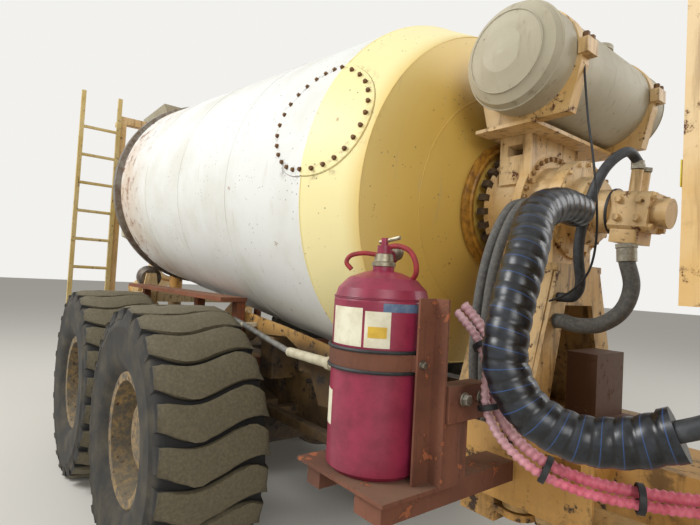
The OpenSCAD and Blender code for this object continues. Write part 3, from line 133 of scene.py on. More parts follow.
# Paint on steel plate that has worked outdoors for years: the coat fades in broad clouds, dirt
# runs down in streaks, dust lies on what faces up, mud clings low, and chips show rust
def wornPaint(name, s):
    add = startMaterial(name)
    where = add("TexCoord", out="Object")
    spot = add("SeparateXYZ", where).node.outputs
    upward = add("SeparateXYZ", add("NewGeometry", out="Normal"), out="Z")
    clouds = add("TexNoise", where, perMetre(420), 5, 0.6)
    fine = add("TexNoise", where, perMetre(s.get("fine", 28)), 6, 0.7)
    drawn = add("Mapping", {"Vector": where, "Scale": (1, 1, 0.1)})
    streaks = add("TexNoise", drawn, perMetre(36), 4, 0.6)
    stains = add("TexNoise", where, perMetre(230), 7, 0.68)
    chipField = add("TexNoise", where, perMetre(s.get("chip", 60)), 9, 0.72)
    mudTop, chipFrom = s.get("mudTop", 1.2), s["chipFrom"]
    chips = mask(add, (chipField, chipFrom, chipFrom + 0.015))
    lying = mask(add, (upward, 0.4, 0.95), (clouds, 0.2, 0.7), 0.6)
    colour = lay(add, linear(s["base"]), s["faded"], (clouds, 0.35, 0.68))
    colour = lay(add, colour, s["grime"], (stains, 0.53, 0.66), s.get("stain", 0.0))
    colour = lay(add, colour, s["grime"], (streaks, *s.get("runs", (0.55, 0.75))), s.get("runShare", 0.5))
    colour = lay(add, colour, s["mud"], (spot["Z"], mudTop, mudTop - 0.7), (fine, 0.3, 0.62),
                 s.get("mudShare", 0.7))
    colour = lay(add, colour, s["dust"], lying)
    colour = lay(add, colour, s["grime"], (chipField, chipFrom - 0.05, chipFrom), 0.45)
    colour = lay(add, colour, s["rust"], chips)
    if "patch" in s:  # bare metal within a box, in metres from the middle axle
        low, high, bare = s["patch"]
        edges = [(spot[axis], end, inside) for axis in (1, 2)
                 for end, inside in ((low[axis] - 0.01, low[axis]), (high[axis] + 0.01, high[axis]))]
        colour = lay(add, colour, bare, (spot["X"], middleX + low[0] - 0.01, middleX + low[0]), *edges,
                     (fine, 0.2, 0.36))
    if "grease" in s:  # painted shade: near-black behind and below this station and height in metres, where the frame lies in shadow
        reach, top = s["grease"]
        thinned = add("MapRange", clouds, 0.3, 0.7, 1.0, 0.7, interpolation_type="LINEAR")
        # the painted shade's near-black colour, thinned in clouds
        colour = lay(add, colour, "#231d18", (spot["X"], middleX + reach + 0.15, middleX + reach - 0.15),
                     (spot["Z"], top + 0.1, top - 0.1), thinned)
    rough = roughened(add, roughened(add, s["rough"], fine, 0.22), add("Math MAXIMUM", chips, lying), 0.3)
    relief = add("Math SUBTRACT", add("Math MULTIPLY", fine, 0.35), add("Math MULTIPLY", chips, 0.3))
    finishMaterial(add, colour, rough, relief, s.get("relief", 0.002), s)


# Alkyd enamel sprayed on steel plate, tan-yellow: half gloss under dust, chipped to brown rust
wornPaint("machineEnamel", {
    "base": "#cda563", "faded": "#dcc193", "grime": "#7a5a30", "mud": "#5d4a37", "dust": "#b3a080",
    "rust": "#5b3420", "chipFrom": 0.615, "rough": 0.4, "mudTop": 1.3, "runShare": 0.65, "runs": (0.5, 0.72),
    "stain": 0.4})
# The same enamel on the cab and bonnet, washed more often
wornPaint("cabEnamel", {
    "base": "#cda35c", "faded": "#d9b87e", "grime": "#82643c", "mud": "#6a563c", "dust": "#b3a080",
    "rust": "#5b3420", "chipFrom": 0.66, "rough": 0.34, "mudTop": 1.3, "runShare": 0.35, "stain": 0.12,
    "coat": 0.2})
# The same enamel on the front pedestal, whose box behind the hoses has lost it to brown rust
wornPaint("pedestalEnamel", {
    "base": "#c39a58", "faded": "#d3b683", "grime": "#5d4426", "mud": "#55412c", "dust": "#a8957a",
    "rust": "#4c3020", "chipFrom": 0.6, "rough": 0.45, "mudTop": 1.7, "mudShare": 0.75, "runShare": 0.7,
    "runs": (0.48, 0.7), "stain": 0.65, "patch": ((1.945, -0.1, 1.2), (2.2, 0.17, 1.54), "#54351f")})
# The same enamel low on the frame, darkened by oil and mud, and near-black behind and under the drum as
# painted shade
wornPaint("frameEnamel", {
    "base": "#c6944a", "faded": "#d3a764", "grime": "#4d3720", "mud": "#4f3d2b", "dust": "#8f7a5c",
    "rust": "#46362c", "chipFrom": 0.585, "chip": 90, "rough": 0.48, "mudShare": 0.8,
    "grease": (1.55, 1.42), "stain": 0.75})
# Enamel on a wheel's dish, caked with dried mud
wornPaint("rimEnamel", {
    "base": "#b3925a", "faded": "#94794b", "grime": "#4b453b", "mud": "#57534b", "dust": "#7f7663",
    "rust": "#553723", "chipFrom": 0.6, "rough": 0.6, "mudTop": 1.9, "mudShare": 0.95, "stain": 0.8,
    "fine": 45})
# Cream enamel on the water tank and hopper, chalked by the sun
wornPaint("tankEnamel", {
    "base": "#b9b29c", "faded": "#a8a089", "grime": "#77694f", "mud": "#7d6d55", "dust": "#c3baa4",
    "rust": "#6b4a33", "chipFrom": 0.66, "rough": 0.5, "mudTop": 0.9, "fine": 16})
# Pale yellow enamel on rails and the ladder
wornPaint("lemonEnamel", {
    "base": "#bfa35a", "faded": "#ccb680", "grime": "#6b552c", "mud": "#6d5b40", "dust": "#b3a17c",
    "rust": "#5f3620", "chipFrom": 0.61, "rough": 0.45, "chip": 40})
# Steel plate that has lost its paint, brown with dry rust
wornPaint("rustedPlate", {
    "base": "#6e4127", "faded": "#84523a", "grime": "#3c2418", "mud": "#57432f", "dust": "#826a52",
    "rust": "#93512c", "chipFrom": 0.56, "rough": 0.75, "chip": 34})
# Red lead primer over rust on the angle beside the bottle: orange where it still holds; its darker brown is
# partly painted shade on the bracket under the bottle
wornPaint("primedSteel", {
    "base": "#5c3726", "faded": "#784a36", "grime": "#3a251a", "mud": "#4c3a2b", "dust": "#7d6652",
    "rust": "#9c5c3c", "chipFrom": 0.6, "rough": 0.68, "chip": 70})
# Oily cast iron of the engine block
wornPaint("castIron", {
    "base": "#2e2c29", "faded": "#3a3733", "grime": "#171513", "mud": "#40372c", "dust": "#5b5043",
    "rust": "#4a3020", "chipFrom": 0.68, "rough": 0.55, "relief": 0.004})
print("paints made")

# White enamel on the drum, sprayed over rolled plate; its front end is pale yellow, turning ochre towards the
# head as painted shade. It is gritty with cement specks, dark round one hatch's rim, and streaked with rust
# at the rear
drumPaint = {
    # the ochre is painted shade on the drum's front head
    "white": "#e3e4e0", "whiteShade": "#d5d4ca", "yellow": "#f5e9ac", "ochre": "#d8b45a",
    "rust": "#84512f", "speck": "#6a6458", "rim": "#4a3626", "runs": "#b8a88a", "tint": "#c79a6c",
    "boundary": 0.815, "hatchAt": 0.85, "hatchAngle": -72, "hatchRim": 0.302
}
drumTilt = radians(6.5)
drumStart = at(1910, 0, 2135)


def makeDrumEnamel(s):
    add = startMaterial("drumEnamel")
    where = add("TexCoord", out="Object")
    turn = radians(s["hatchAngle"])
    axis = Vector((-cos(drumTilt), 0, sin(drumTilt)))
    outward = Vector((sin(drumTilt) * cos(turn), sin(turn), cos(drumTilt) * cos(turn)))
    along = add("VectorMath DOT_PRODUCT", add("VectorMath SUBTRACT", where, drumStart), axis)
    fromHatch = add("VectorMath SUBTRACT", where, drumStart + axis * s["hatchAt"])
    aside = add("VectorMath DISTANCE", fromHatch, add("VectorMath PROJECT", fromHatch, outward))
    clouds = add("TexNoise", where, perMetre(600), 5, 0.6)
    fine = add("TexNoise", where, perMetre(20), 6, 0.7)
    scab = add("TexNoise", where, perMetre(90), 8, 0.7)
    white = lay(add, linear(s["white"]), s["whiteShade"], (clouds, 0.4, 0.7))
    # the yellow turns ochre towards the head: painted shade
    yellow = lay(add, linear(s["yellow"]), s["ochre"], (along, 0.62, 0.46))
    ragged = add("Math MULTIPLY", add("TexNoise", where, perMetre(40), 3, 0.6), 0.008)
    edge = add("Math ADD", along, ragged, use_clamp=False)
    isWhite = mask(add, (edge, s["boundary"] + 0.002, s["boundary"] + 0.006))
    colour = add("Mix", isWhite, yellow, white)
    specks = add("TexVoronoi", where, perMetre(34))
    colour = lay(add, colour, s["speck"], (specks, 0.15, 0.08),
                 (add("TexNoise", where, perMetre(260), 3, 0.6), 0.46, 0.6), 0.8)
    rim = s["hatchRim"]
    isRim = mask(add, (aside, rim - 0.0015, rim - 0.001), (aside, rim + 0.001, rim), (fine, 0.25, 0.5))
    worn = mask(add, (add("TexNoise", where, perMetre(45), 5, 0.6), 0.5, 0.68), 0.6)
    boltRing = mask(add, (aside, rim - 0.05, rim - 0.03), (aside, rim + 0.05, rim - 0.01), worn)
    colour = lay(add, colour, s["rim"], add("Math MAXIMUM", isRim, boltRing))
    drawn = add("Mapping", {"Vector": where, "Scale": (1, 1, 0.12)})
    colour = lay(add, colour, s["runs"], (add("TexNoise", drawn, perMetre(60), 4, 0.6), 0.6, 0.78), 0.3)
    rearward = mask(add, (along, 3.2, 4.2))
    colour = lay(add, colour, s["tint"], rearward, (clouds, 0.35, 0.6), 0.45)
    rust = mask(add, (scab, 0.535, 0.63), rearward)
    colour = lay(add, colour, s["rust"], add("Math MAXIMUM", rust, mask(add, (scab, 0.665, 0.69), 0.7)))
    broad = add("Math MULTIPLY", add("TexNoise", where, perMetre(380), 2, 0.6), 0.8)
    dents = roughened(add, broad, fine, 0.1)
    finishMaterial(add, colour, roughened(add, 0.27, fine, 0.3), dents, 0.012, {"bump": 0.35})


makeDrumEnamel(drumPaint)


# A plain finish with a colour pair, roughness and grain in mm, for fittings, rubber and plastics
def plainFinish(name, base, worn, rough, grainSize, **s):
    add = startMaterial(name)
    grain = add("TexNoise", add("TexCoord", out="Object"), perMetre(grainSize), 5, 0.65)
    colour = lay(add, linear(base), worn, (grain, 0.35, 0.7))
    finishMaterial(add, colour, roughened(add, rough, grain, s.get("vary", 0.15)), grain, 0.001, s)


# Crimson enamel on the fire bottle, smooth and glossy under a film of dust
plainFinish("bottleEnamel", "#942c48", "#7a2239", 0.3, 90, bump=0.1)
# Hydraulic hose: black nitrile rubber, matt and dusty
plainFinish("hoseRubber", "#2a2d30", "#45474a", 0.55, 30)
# Grey braided sleeve over the hoses by the gearbox
plainFinish("hoseSleeve", "#565654", "#706e68", 0.7, 14)
# Grey anodised fittings at the motor's ports
plainFinish("greyFitting", "#b9b5a6", "#8f8a7b", 0.4, 25, metallic=0.3)
# Bolts rusted brown where the paint has gone
plainFinish("rustedBolt", "#5c3f26", "#7d5c38", 0.6, 14, metallic=0.3)
# Bolts under old tan paint
plainFinish("wornBolt", "#a98452", "#6f5232", 0.5, 12, metallic=0.1)
# Ochre enamel on the ring about the drum's bearing
plainFinish("ringEnamel", "#b98630", "#7d5520", 0.35, 35)
# Oily castings behind the gearbox, dark partly as painted shade for where they sit
plainFinish("castDark", "#3d3124", "#574632", 0.6, 25, metallic=0.2)
# Cream enamel on the water pipe and grey primer at its bend
plainFinish("pipeCream", "#cfc7ad", "#b3a98c", 0.5, 60)
plainFinish("pipeGrey", "#7f7d76", "#605d56", 0.5, 40)
# Red polycarbonate of the tail lamps
plainFinish("redLens", "#8f1a18", "#7a1614", 0.15, 60, bump=0.1)
# Yellow printed block on a blank label
plainFinish("yellowInk", "#d8b23c", "#c49d30", 0.45, 50)
# Silvered glass of the mirrors
plainFinish("mirrorGlass", "#d5d8d9", "#c6cacc", 0.03, 300, metallic=1.0, bump=0.02)
# Black nylon clamps, cable, ties and rubber trim
plainFinish("blackNylon", "#17181a", "#2b2c2e", 0.5, 20)
# Zinc-plated bolts, gone dull
plainFinish("zincSteel", "#8d897e", "#6d6252", 0.4, 18, metallic=0.85)
# Dark oiled wheel nuts
plainFinish("darkBolt", "#3a322a", "#574a3c", 0.5, 18, metallic=0.6)
# Rolled steel of the track and rollers, rubbed bright
plainFinish("rubbedSteel", "#8c8780", "#6a5a4a", 0.35, 60, metallic=0.9)
# Hard chrome on the cylinder rods
plainFinish("hardChrome", "#d5d5d3", "#bdbbb6", 0.1, 200, metallic=1.0, bump=0.05)
# Toughened glass of the cab
plainFinish("safetyGlass", "#dfe8e6", "#d3dedb", 0.02, 300, vary=0.05, clear=0.92, bump=0.02)
# Moulded polycarbonate lamp lens
plainFinish("lampLens", "#f0efe8", "#dcd9cc", 0.08, 60, clear=0.35, bump=0.1)
# Textured ABS and vinyl inside the cab
plainFinish("cabPlastic", "#26272a", "#35363a", 0.6, 6)
# Blank printed label, sun-bleached
plainFinish("blankLabel", "#e3dfc8", "#d2cbae", 0.45, 50)
# Blue vinyl patch
plainFinish("bluePatch", "#4a6285", "#6f7f95", 0.4, 30)
# Retroreflective yellow tape
plainFinish("reflectiveTape", "#dccb3f", "#cdb73a", 0.3, 25)
# Red rubber hose on the bottle's valve
plainFinish("redRubber", "#9c2b30", "#7f262a", 0.5, 25)
# Cast brass of the bottle's valve under a grey film
plainFinish("brassFitting", "#a09a86", "#7f7660", 0.38, 22, metallic=0.75)


# Faded pink polyethylene conduit: redder where it has lain sheltered under the hoses
def makeConduitPlastic():
    add = startMaterial("conduitPlastic")
    where = add("TexCoord", out="Object")
    grain = add("TexNoise", where, perMetre(45), 5, 0.65)
    x = add("SeparateXYZ", where, out="X")
    sheltered = mask(add, (x, middleX + 2.12, middleX + 2.35), (x, middleX + 3.0, middleX + 2.7))
    pale = lay(add, linear("#dcb4b8"), "#c99aa0", (grain, 0.35, 0.65))
    red = lay(add, linear("#dd7286"), "#c45466", (grain, 0.35, 0.65))
    colour = add("Mix", sheltered, pale, red)
    finishMaterial(add, colour, roughened(add, 0.42, grain, 0.2), grain, 0.001, {"bump": 0.3})


makeConduitPlastic()
wrapPitch = 52


# Spiral wrap of black polyethylene over the hoses: dusty grey, with dark joints and a blue line in
# each turn. The piece's UV runs round the hose in u and along it in metres in v
def makeSpiralWrap(pitch):
    add = startMaterial("spiralWrap")
    coords = add("TexCoord").node.outputs
    grain = add("TexNoise", coords["Object"], perMetre(40), 5, 0.65)
    spot = add("SeparateXYZ", coords["UV"]).node.outputs
    turns = add("Math DIVIDE", spot["Y"], pitch / 1000, use_clamp=False)
    turns = add("Math ADD", turns, spot["X"], use_clamp=False)
    phase = add("Math FRACT", turns, use_clamp=False)
    colour = lay(add, linear("#0e1013"), "#22272f", (grain, 0.35, 0.65))
    joint = add("Math MAXIMUM", mask(add, (phase, 0.14, 0.06)), mask(add, (phase, 0.9, 0.97)))
    colour = lay(add, colour, "#0d0e11", joint)
    colour = lay(add, colour, "#2c4f86", (phase, 0.42, 0.44), (phase, 0.49, 0.47), 0.65)
    finishMaterial(add, colour, roughened(add, 0.18, grain, 0.25), grain, 0.001, {"bump": 0.3})


makeSpiralWrap(wrapPitch)
tyrePaint = {"top": "#5c5543", "dust": "#6f6650", "groove": "#0b0c0f", "side": "#1e1c1a", "tread": 0.737}


# Tyre rubber: brown dust on the lugs' tops and the sidewall, and painted shade, near-black and bluish, in the
# grooves
def makeTyreRubber(name, hub):
    s = tyrePaint
    add = startMaterial(name)
    where = add("TexCoord", out="Object")
    centred = add("Mapping", {"Vector": where, "Location": (-hub.x, 0, -hub.z), "Scale": (1, 0, 1)})
    reach = add("VectorMath LENGTH", centred)
    clouds = add("TexNoise", where, perMetre(160), 5, 0.6)
    fine = add("TexNoise", where, perMetre(16), 6, 0.7)
    side = lay(add, linear(s["side"]), s["dust"], (clouds, 0.35, 0.8), 0.4)
    tops = lay(add, linear(s["top"]), s["dust"], (fine, 0.35, 0.7))
    isTop = mask(add, (reach, s["tread"] + 0.004, s["tread"] + 0.022))
    # painted shade: near-black down in the grooves and on the lugs' sides
    colour = lay(add, side, s["groove"], (reach, s["tread"] - 0.03, s["tread"] - 0.005), 0.85)
    finishMaterial(add, add("Mix", isTop, colour, tops), roughened(add, 0.62, clouds, 0.3), fine, 0.004, {})


print("finishes made")

# Which finish each node of the frame has, apart from those that pieces replace
nodeFinish = {
    "pedestalEnamel": ["front_pedestal"],
    "machineEnamel": ["drum_gearbox", "drum_motor", "tank_cradle", "rear_pedestal", "chute_turret",
                      "chute", "cooler_tower", "ram_barrel_left", "ram_barrel_right"],
    "cabEnamel": ["bonnet", "front_guards", "side_tank", "cab_shell", "cab_door"],
    "frameEnamel": ["rear_frame", "bogie", "front_frame", "front_axle"],
    "rimEnamel": [n for n in frame["nodes"] if n.startswith("rim_")],
    "drumEnamel": ["drum_shell", "drum_hatches"],
    "tankEnamel": ["water_tank", "hopper", "collector"],
    "lemonEnamel": ["ladder", "handrails"],
    "rustedPlate": ["side_decks", "exhaust"],
    "primedSteel": ["bottle_stand"],
    "castIron": ["engine_block"],
    "rubbedSteel": ["drum_track", "roller_left", "roller_right", "drum_blades"],
    "hardChrome": ["ram_rod_left", "ram_rod_right"],
    "safetyGlass": ["cab_glass", "door_glass"],
    "lampLens": ["lamps"],
    "cabPlastic": ["cab_inside"],
    "bottleEnamel": ["fire_bottle"],
}
for finish, names in nodeFinish.items():
    for name in names:
        slots = frame["nodes"][name].data.materials
        slots.clear()
        slots.append(bpy.data.materials[finish])
print("frame's finishes set")


def keepPart(name, mesh):
    data = bpy.data.meshes.new(name)
    mesh.to_mesh(data)
    mesh.free()
    return data


def newPiece(name, mesh, finish, body="chassis", smooth=35):
    bmesh.ops.remove_doubles(mesh, verts=mesh.verts, dist=1e-6)
    bmesh.ops.recalc_face_normals(mesh, faces=mesh.faces)
    data = keepPart(name, mesh)
    data.materials.append(bpy.data.materials[finish])
    data.shade_smooth()
    data.set_sharp_from_angle(angle=radians(smooth))
    piece = bpy.data.objects.new(name, data)
    scene.collection.objects.link(piece)
    if body:
        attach(piece, body)
    return piece


def soften(mesh, edges, size, segments=2):
    bmesh.ops.bevel(mesh, geom=list(dict.fromkeys(edges)), offset=size, segments=segments, affect="EDGES",
                    profile=0.5, material=-1)


def block(mesh, low, high, chamfer=2.0, turn=None):  # corners in mm, edges broken
    a, b = at(*low), at(*high)
    middle = Matrix.Translation((a + b) / 2) @ (turn or Matrix())
    made = bmesh.ops.create_cube(mesh, size=1, matrix=middle @ Matrix.Diagonal((*(b - a), 1)))["verts"]
    if chamfer:
        soften(mesh, [e for v in made for e in v.link_edges], chamfer / 1000)


def rod(mesh, start, end, radius, sides=16):
    a, b = at(*start), at(*end)
    turn = (b - a).to_track_quat("Z", "Y").to_matrix().to_4x4()
    bmesh.ops.create_cone(mesh, cap_ends=True, segments=sides, radius1=radius / 1000, radius2=radius / 1000,
                          depth=(b - a).length, matrix=Matrix.Translation((a + b) / 2) @ turn)


def turned(mesh, place, profile, steps=64, span=360.0):  # a closed profile of (radius, height) in mm
    verts = [mesh.verts.new(place @ Vector((r / 1000, 0, h / 1000))) for r, h in profile]
    edges = [mesh.edges.new(pair) for pair in zip(verts, verts[1:] + verts[:1])]
    axis = place.to_3x3() @ Vector((0, 0, 1))
    whole = span >= 360
    bmesh.ops.spin(mesh, geom=verts + edges, cent=place.translation, axis=axis, dvec=(0, 0, 0),
                   angle=radians(span), steps=steps, use_merge=whole, use_duplicate=False)
    if not whole:
        loose = [e for e in mesh.edges if e.is_boundary]
        bmesh.ops.holes_fill(mesh, edges=loose, sides=len(profile))


def ringBead(mesh, place, radius, size):  # a weld bead or a rolled seam
    turned(mesh, place, [(radius + size * cos(a), size * sin(a)) for a in (k * pi / 3 for k in range(6))], 96)


def boltPart(across, height, washer=0.003):  # a hexagon head on its washer, standing on z = 0
    mesh = bmesh.new()
    bmesh.ops.create_cone(mesh, cap_ends=True, segments=16, radius1=across * 0.0007, radius2=across * 0.00066,
                          depth=washer, matrix=Matrix.Translation((0, 0, washer / 2)))
    raised = Matrix.Translation((0, 0, washer + height / 2000))
    made = bmesh.ops.create_cone(mesh, cap_ends=True, segments=6, radius1=across * 0.000577,
                                 radius2=across * 0.000577, depth=height / 1000, matrix=raised)["verts"]
    crown = [e for v in made for e in v.link_edges if all(w.co.z > washer + height / 1500 for w in e.verts)]
    soften(mesh, crown, across * 0.00008, 1)
    return keepPart("boltPart", mesh)


def stamp(mesh, part, places):  # copies of a part at each place
    for place in places:
        known = len(mesh.verts)
        mesh.from_mesh(part)
        mesh.verts.ensure_lookup_table()
        bmesh.ops.transform(mesh, matrix=place, verts=mesh.verts[known:])


def spun(angle, axis):  # a turn by degrees
    return Matrix.Rotation(radians(angle), 4, axis)


def facing(x, y, z, direction):  # a place in mm whose z looks along a direction
    turn = Vector(direction).to_track_quat("Z", "Y").to_matrix().to_4x4()
    return Matrix.Translation(at(x, y, z)) @ turn


drumTurn = Matrix(((sin(drumTilt), 0, -cos(drumTilt)), (0, 1, 0), (cos(drumTilt), 0, sin(drumTilt)))).to_4x4()


def onDrum(station, angle=0.0, radius=0.0):  # z looks rearwards on the axis, x out at the angle from the top
    place = Matrix.Translation(drumStart) @ drumTurn @ spun(angle, "Z")
    return place @ Matrix.Translation((radius / 1000, 0, station / 1000))


def aboutDrum(count, station, radius, first):  # evenly spaced places about the drum's axis
    return [onDrum(station, k * 360 / count + first, radius) for k in range(count)]


def smoothPath(points, gap):  # an even path in mm through the points
    p = [Vector(q) for q in points]
    p = [p[0] * 2 - p[1]] + p + [p[-1] * 2 - p[-2]]
    dense = []
    for a, b, c, d in zip(p, p[1:], p[2:], p[3:]):
        for k in range(16):
            t = k / 16
            dense.append(0.5 * (2 * b + (c - a) * t + (2 * a - 5 * b + 4 * c - d) * t * t
                                + (3 * b - a - 3 * c + d) * t ** 3))
    dense.append(p[-2])
    total = sum((b - a).length for a, b in zip(dense, dense[1:]))
    count = max(2, round(total / gap))
    path, reach, want = [dense[0]], 0.0, total / count
    for a, b in zip(dense, dense[1:]):
        step = (b - a).length
        while step and reach + step >= want * len(path) - 1e-6 and len(path) < count:
            path.append(a.lerp(b, (want * len(path) - reach) / step))
        reach += step
    return path + [dense[-1]], total


# A tube of a radius in mm, or of a function of the mm along, the angle and the length; its UV runs
# round and along it, and its length is given back
def tube(points, gap, sides, radius, mesh=None):
    path, total = smoothPath(points, gap)
    mesh = mesh or bmesh.new()
    uv = mesh.loops.layers.uv.verify()
    side = None
    rings = []
    for i, spot in enumerate(path):
        ahead = (path[min(i + 1, len(path) - 1)] - path[max(i - 1, 0)]).normalized()
        side = side or ahead.orthogonal().normalized()
        side = (side - ahead * side.dot(ahead)).normalized()
        other = ahead.cross(side)
        along = total * i / (len(path) - 1)
        ring = []
        for k in range(sides):
            angle = 2 * pi * k / sides
            reach = radius(along, angle, total) if callable(radius) else radius
            ring.append(mesh.verts.new(at(*(spot + (side * cos(angle) + other * sin(angle)) * reach))))
        rings.append((ring, along / 1000))
    for (low, a), (high, b) in zip(rings, rings[1:]):
        for k in range(sides):
            n = (k + 1) % sides
            face = mesh.faces.new((low[k], low[n], high[n], high[k]))
            for loop, spot in zip(face.loops, ((k, a), (k + 1, a), (k + 1, b), (k, b))):
                loop[uv].uv = (spot[0] / sides, spot[1])
    mesh.faces.new(rings[0][0][::-1])
    mesh.faces.new(rings[-1][0])
    return mesh, total


def shifted(route, step):
    return [tuple(a + b for a, b in zip(point, step)) for point in route]


bodyOf = {n: body for body, nodes in frame["record"]["behaviour"]["bodies"].items() for n in nodes}
wheels = [n[4:] for n in frame["nodes"] if n.startswith("rim_")]


def hubOf(node):
    low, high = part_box(node)
    return (low + high) / 2


def wheelName(start, wheel):
    return start + wheel.title().replace("_", "")


# Tyres: a carcass with 24 lugs that wave from shoulder to shoulder, with narrow grooves
tyre = {
    "lugs": 24, "top": 775, "floor": 737, "across": 284, "half": 300, "share": 6.3, "endShare": 4.7,
    "flare": 1.12, "wave": 2.4, "lean": 1.2, "crown": 5, "shoulder": 17, "foot": 6, "endFoot": 44,
    "edge": 8,
    "section": [(370, 235), (382, 238), (403, 266), (440, 281), (452, 286), (474, 292), (561, 299),
        (632, 298), (640, 301), (650, 301), (658, 296), (700, 289), (722, 276), (737, 250)]
}


def lugPart():
    s = tyre
    mesh = bmesh.new()
    bmesh.ops.create_grid(mesh, x_segments=14, y_segments=3, size=1)
    raised = bmesh.ops.extrude_face_region(mesh, geom=mesh.faces[:])["geom"]
    tops = {g for g in raised if isinstance(g, bmesh.types.BMVert)}
    for vert in mesh.verts:
        across, around = vert.co.x, vert.co.y
        share = s["share"] + (s["endShare"] - s["share"]) * abs(across) ** 3
        if vert in tops:
            flare, wide = 1.0, s["across"]
            reach = s["top"] - s["crown"] * across ** 2 - s["shoulder"] * across ** 4
        else:
            flare, wide = s["flare"], s["across"] + 10
            reach = s["floor"] - s["foot"] - s["endFoot"] * across ** 4
        angle = radians(around * share * flare + s["wave"] * sin(pi * across) - s["lean"] * cos(pi * across))
        vert.co = Vector((reach * cos(angle), across * wide, reach * sin(angle))) / 1000
    rim = [e for e in mesh.edges if all(v in tops for v in e.verts)
           and any(any(v not in tops for v in f.verts) for f in e.link_faces)]
    soften(mesh, rim, s["edge"] / 1000)
    half = s["half"] / 1000
    for vert in mesh.verts:  # kept within the tyre's outline
        over = max(1.0, hypot(vert.co.x, vert.co.z) * 1000 / s["top"])
        vert.co = Vector((vert.co.x / over, max(-half, min(half, vert.co.y)), vert.co.z / over))
    bmesh.ops.recalc_face_normals(mesh, faces=mesh.faces)
    return keepPart("lugPart", mesh)


part = lugPart()
for wheel in wheels:
    hub = hubOf("tyre_" + wheel)
    mesh = bmesh.new()
    turned(mesh, Matrix.Translation(hub) @ spun(90, "X"),
           tyre["section"] + [(r, -w) for r, w in reversed(tyre["section"])], 96)
    stamp(mesh, part, [Matrix.Translation(hub) @ spun(360 * (k + 0.5) / tyre["lugs"], "Y")
                       for k in range(tyre["lugs"])])
    rubber = wheelName("tyreRubber", wheel)
    makeTyreRubber(rubber, hub)
    piece = newPiece(wheelName("tyre", wheel), mesh, rubber, bodyOf["tyre_" + wheel], 40)
    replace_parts(piece, "tyre_" + wheel)
print("tyres made")

# Wheel nuts on each dish
nuts = {"count": 20, "radius": 228, "across": 34, "height": 26, "face": 48}
part = boltPart(nuts["across"], nuts["height"])
for wheel in wheels:
    hub = hubOf("rim_" + wheel)
    out = 1 if hub.y > 0 else -1
    mesh = bmesh.new()
    for k in range(nuts["count"]):
        angle = 2 * pi * k / nuts["count"]
        spot = Vector((cos(angle) * nuts["radius"], out * nuts["face"], sin(angle) * nuts["radius"])) / 1000
        stamp(mesh, part, [Matrix.Translation(hub + spot) @ spun(-90 * out, "X")])
    newPiece(wheelName("nuts", wheel), mesh, "darkBolt", bodyOf["rim_" + wheel])

# Drum: weld beads, the hatches' bolts, and the bearing's ochre ring with its lugs. Rings of bolts
# and lugs are (count, station, radius, first angle)
drumTrim = {
    "seams": [(455, 548), (520, 851), (812, 970.5), (1660, 970.5), (2510, 970.5), (3360, 970.5),
        (4218, 970.5)],
    "bead": 3.2, "headAt": 520, "headRadius": 850, "wideAt": 810, "wideRadius": 970, "plate": 6,
    "hatchAngles": (-72, 108), "hatchAt": 850, "hatchBolts": 28, "hatchRing": 276,
    "bearing": [(272, 374), (272, 362), (292, 358), (300, 364), (300, 372), (318, 374), (326, 380),
        (326, 392), (316, 398), (272, 398)],
    "lugs": (24, 326, 244, 4), "lugSize": (0.044, 0.03, 0.04, 1),
    "flangeBolts": (36, 129, 233, -3.5), "coverBolts": (12, -89, 140, 15)
}


def hatchPlace(angle, phi):  # on the hatch's plate, z outwards, square to the cone or to the cylinder
    s = drumTrim
    station = s["hatchAt"] + s["hatchRing"] * cos(phi)
    rise = (s["wideRadius"] - s["headRadius"]) / (s["wideAt"] - s["headAt"])
    onCone = station < s["wideAt"]
    reach = s["plate"] + (s["headRadius"] + rise * (station - s["headAt"]) if onCone else s["wideRadius"])
    turn = angle + degrees(s["hatchRing"] * sin(phi) / reach)
    lean = degrees(atan(rise)) if onCone else 0.0
    return onDrum(station, turn, reach) @ spun(90 + lean, "Y")


mesh = bmesh.new()
for station, radius in drumTrim["seams"]:
    ringBead(mesh, onDrum(station), radius, drumTrim["bead"])
newPiece("drumSeams", mesh, "drumEnamel", "drum")
mesh = bmesh.new()
count = drumTrim["hatchBolts"]
for angle in drumTrim["hatchAngles"]:
    stamp(mesh, boltPart(17, 9), [hatchPlace(angle, 2 * pi * (k + 0.5) / count) for k in range(count)])
newPiece("hatchBolts", mesh, "rustedBolt", "drum")
mesh = bmesh.new()
turned(mesh, onDrum(0), drumTrim["bearing"], 96)
newPiece("bearingRing", mesh, "ringEnamel", "drum")
mesh = bmesh.new()
for place in aboutDrum(*drumTrim["lugs"]):
    bmesh.ops.create_cube(mesh, size=1, matrix=place @ Matrix.Diagonal(drumTrim["lugSize"]))
# the lugs' dark finish is partly painted shade
newPiece("bearingLugs", mesh, "castDark")
mesh = bmesh.new()
for across, ring in ((19, "flangeBolts"), (17, "coverBolts")):
    stamp(mesh, boltPart(across, 12), [place @ spun(180, "X") for place in aboutDrum(*drumTrim[ring])])
newPiece("gearboxBolts", mesh, "wornBolt")

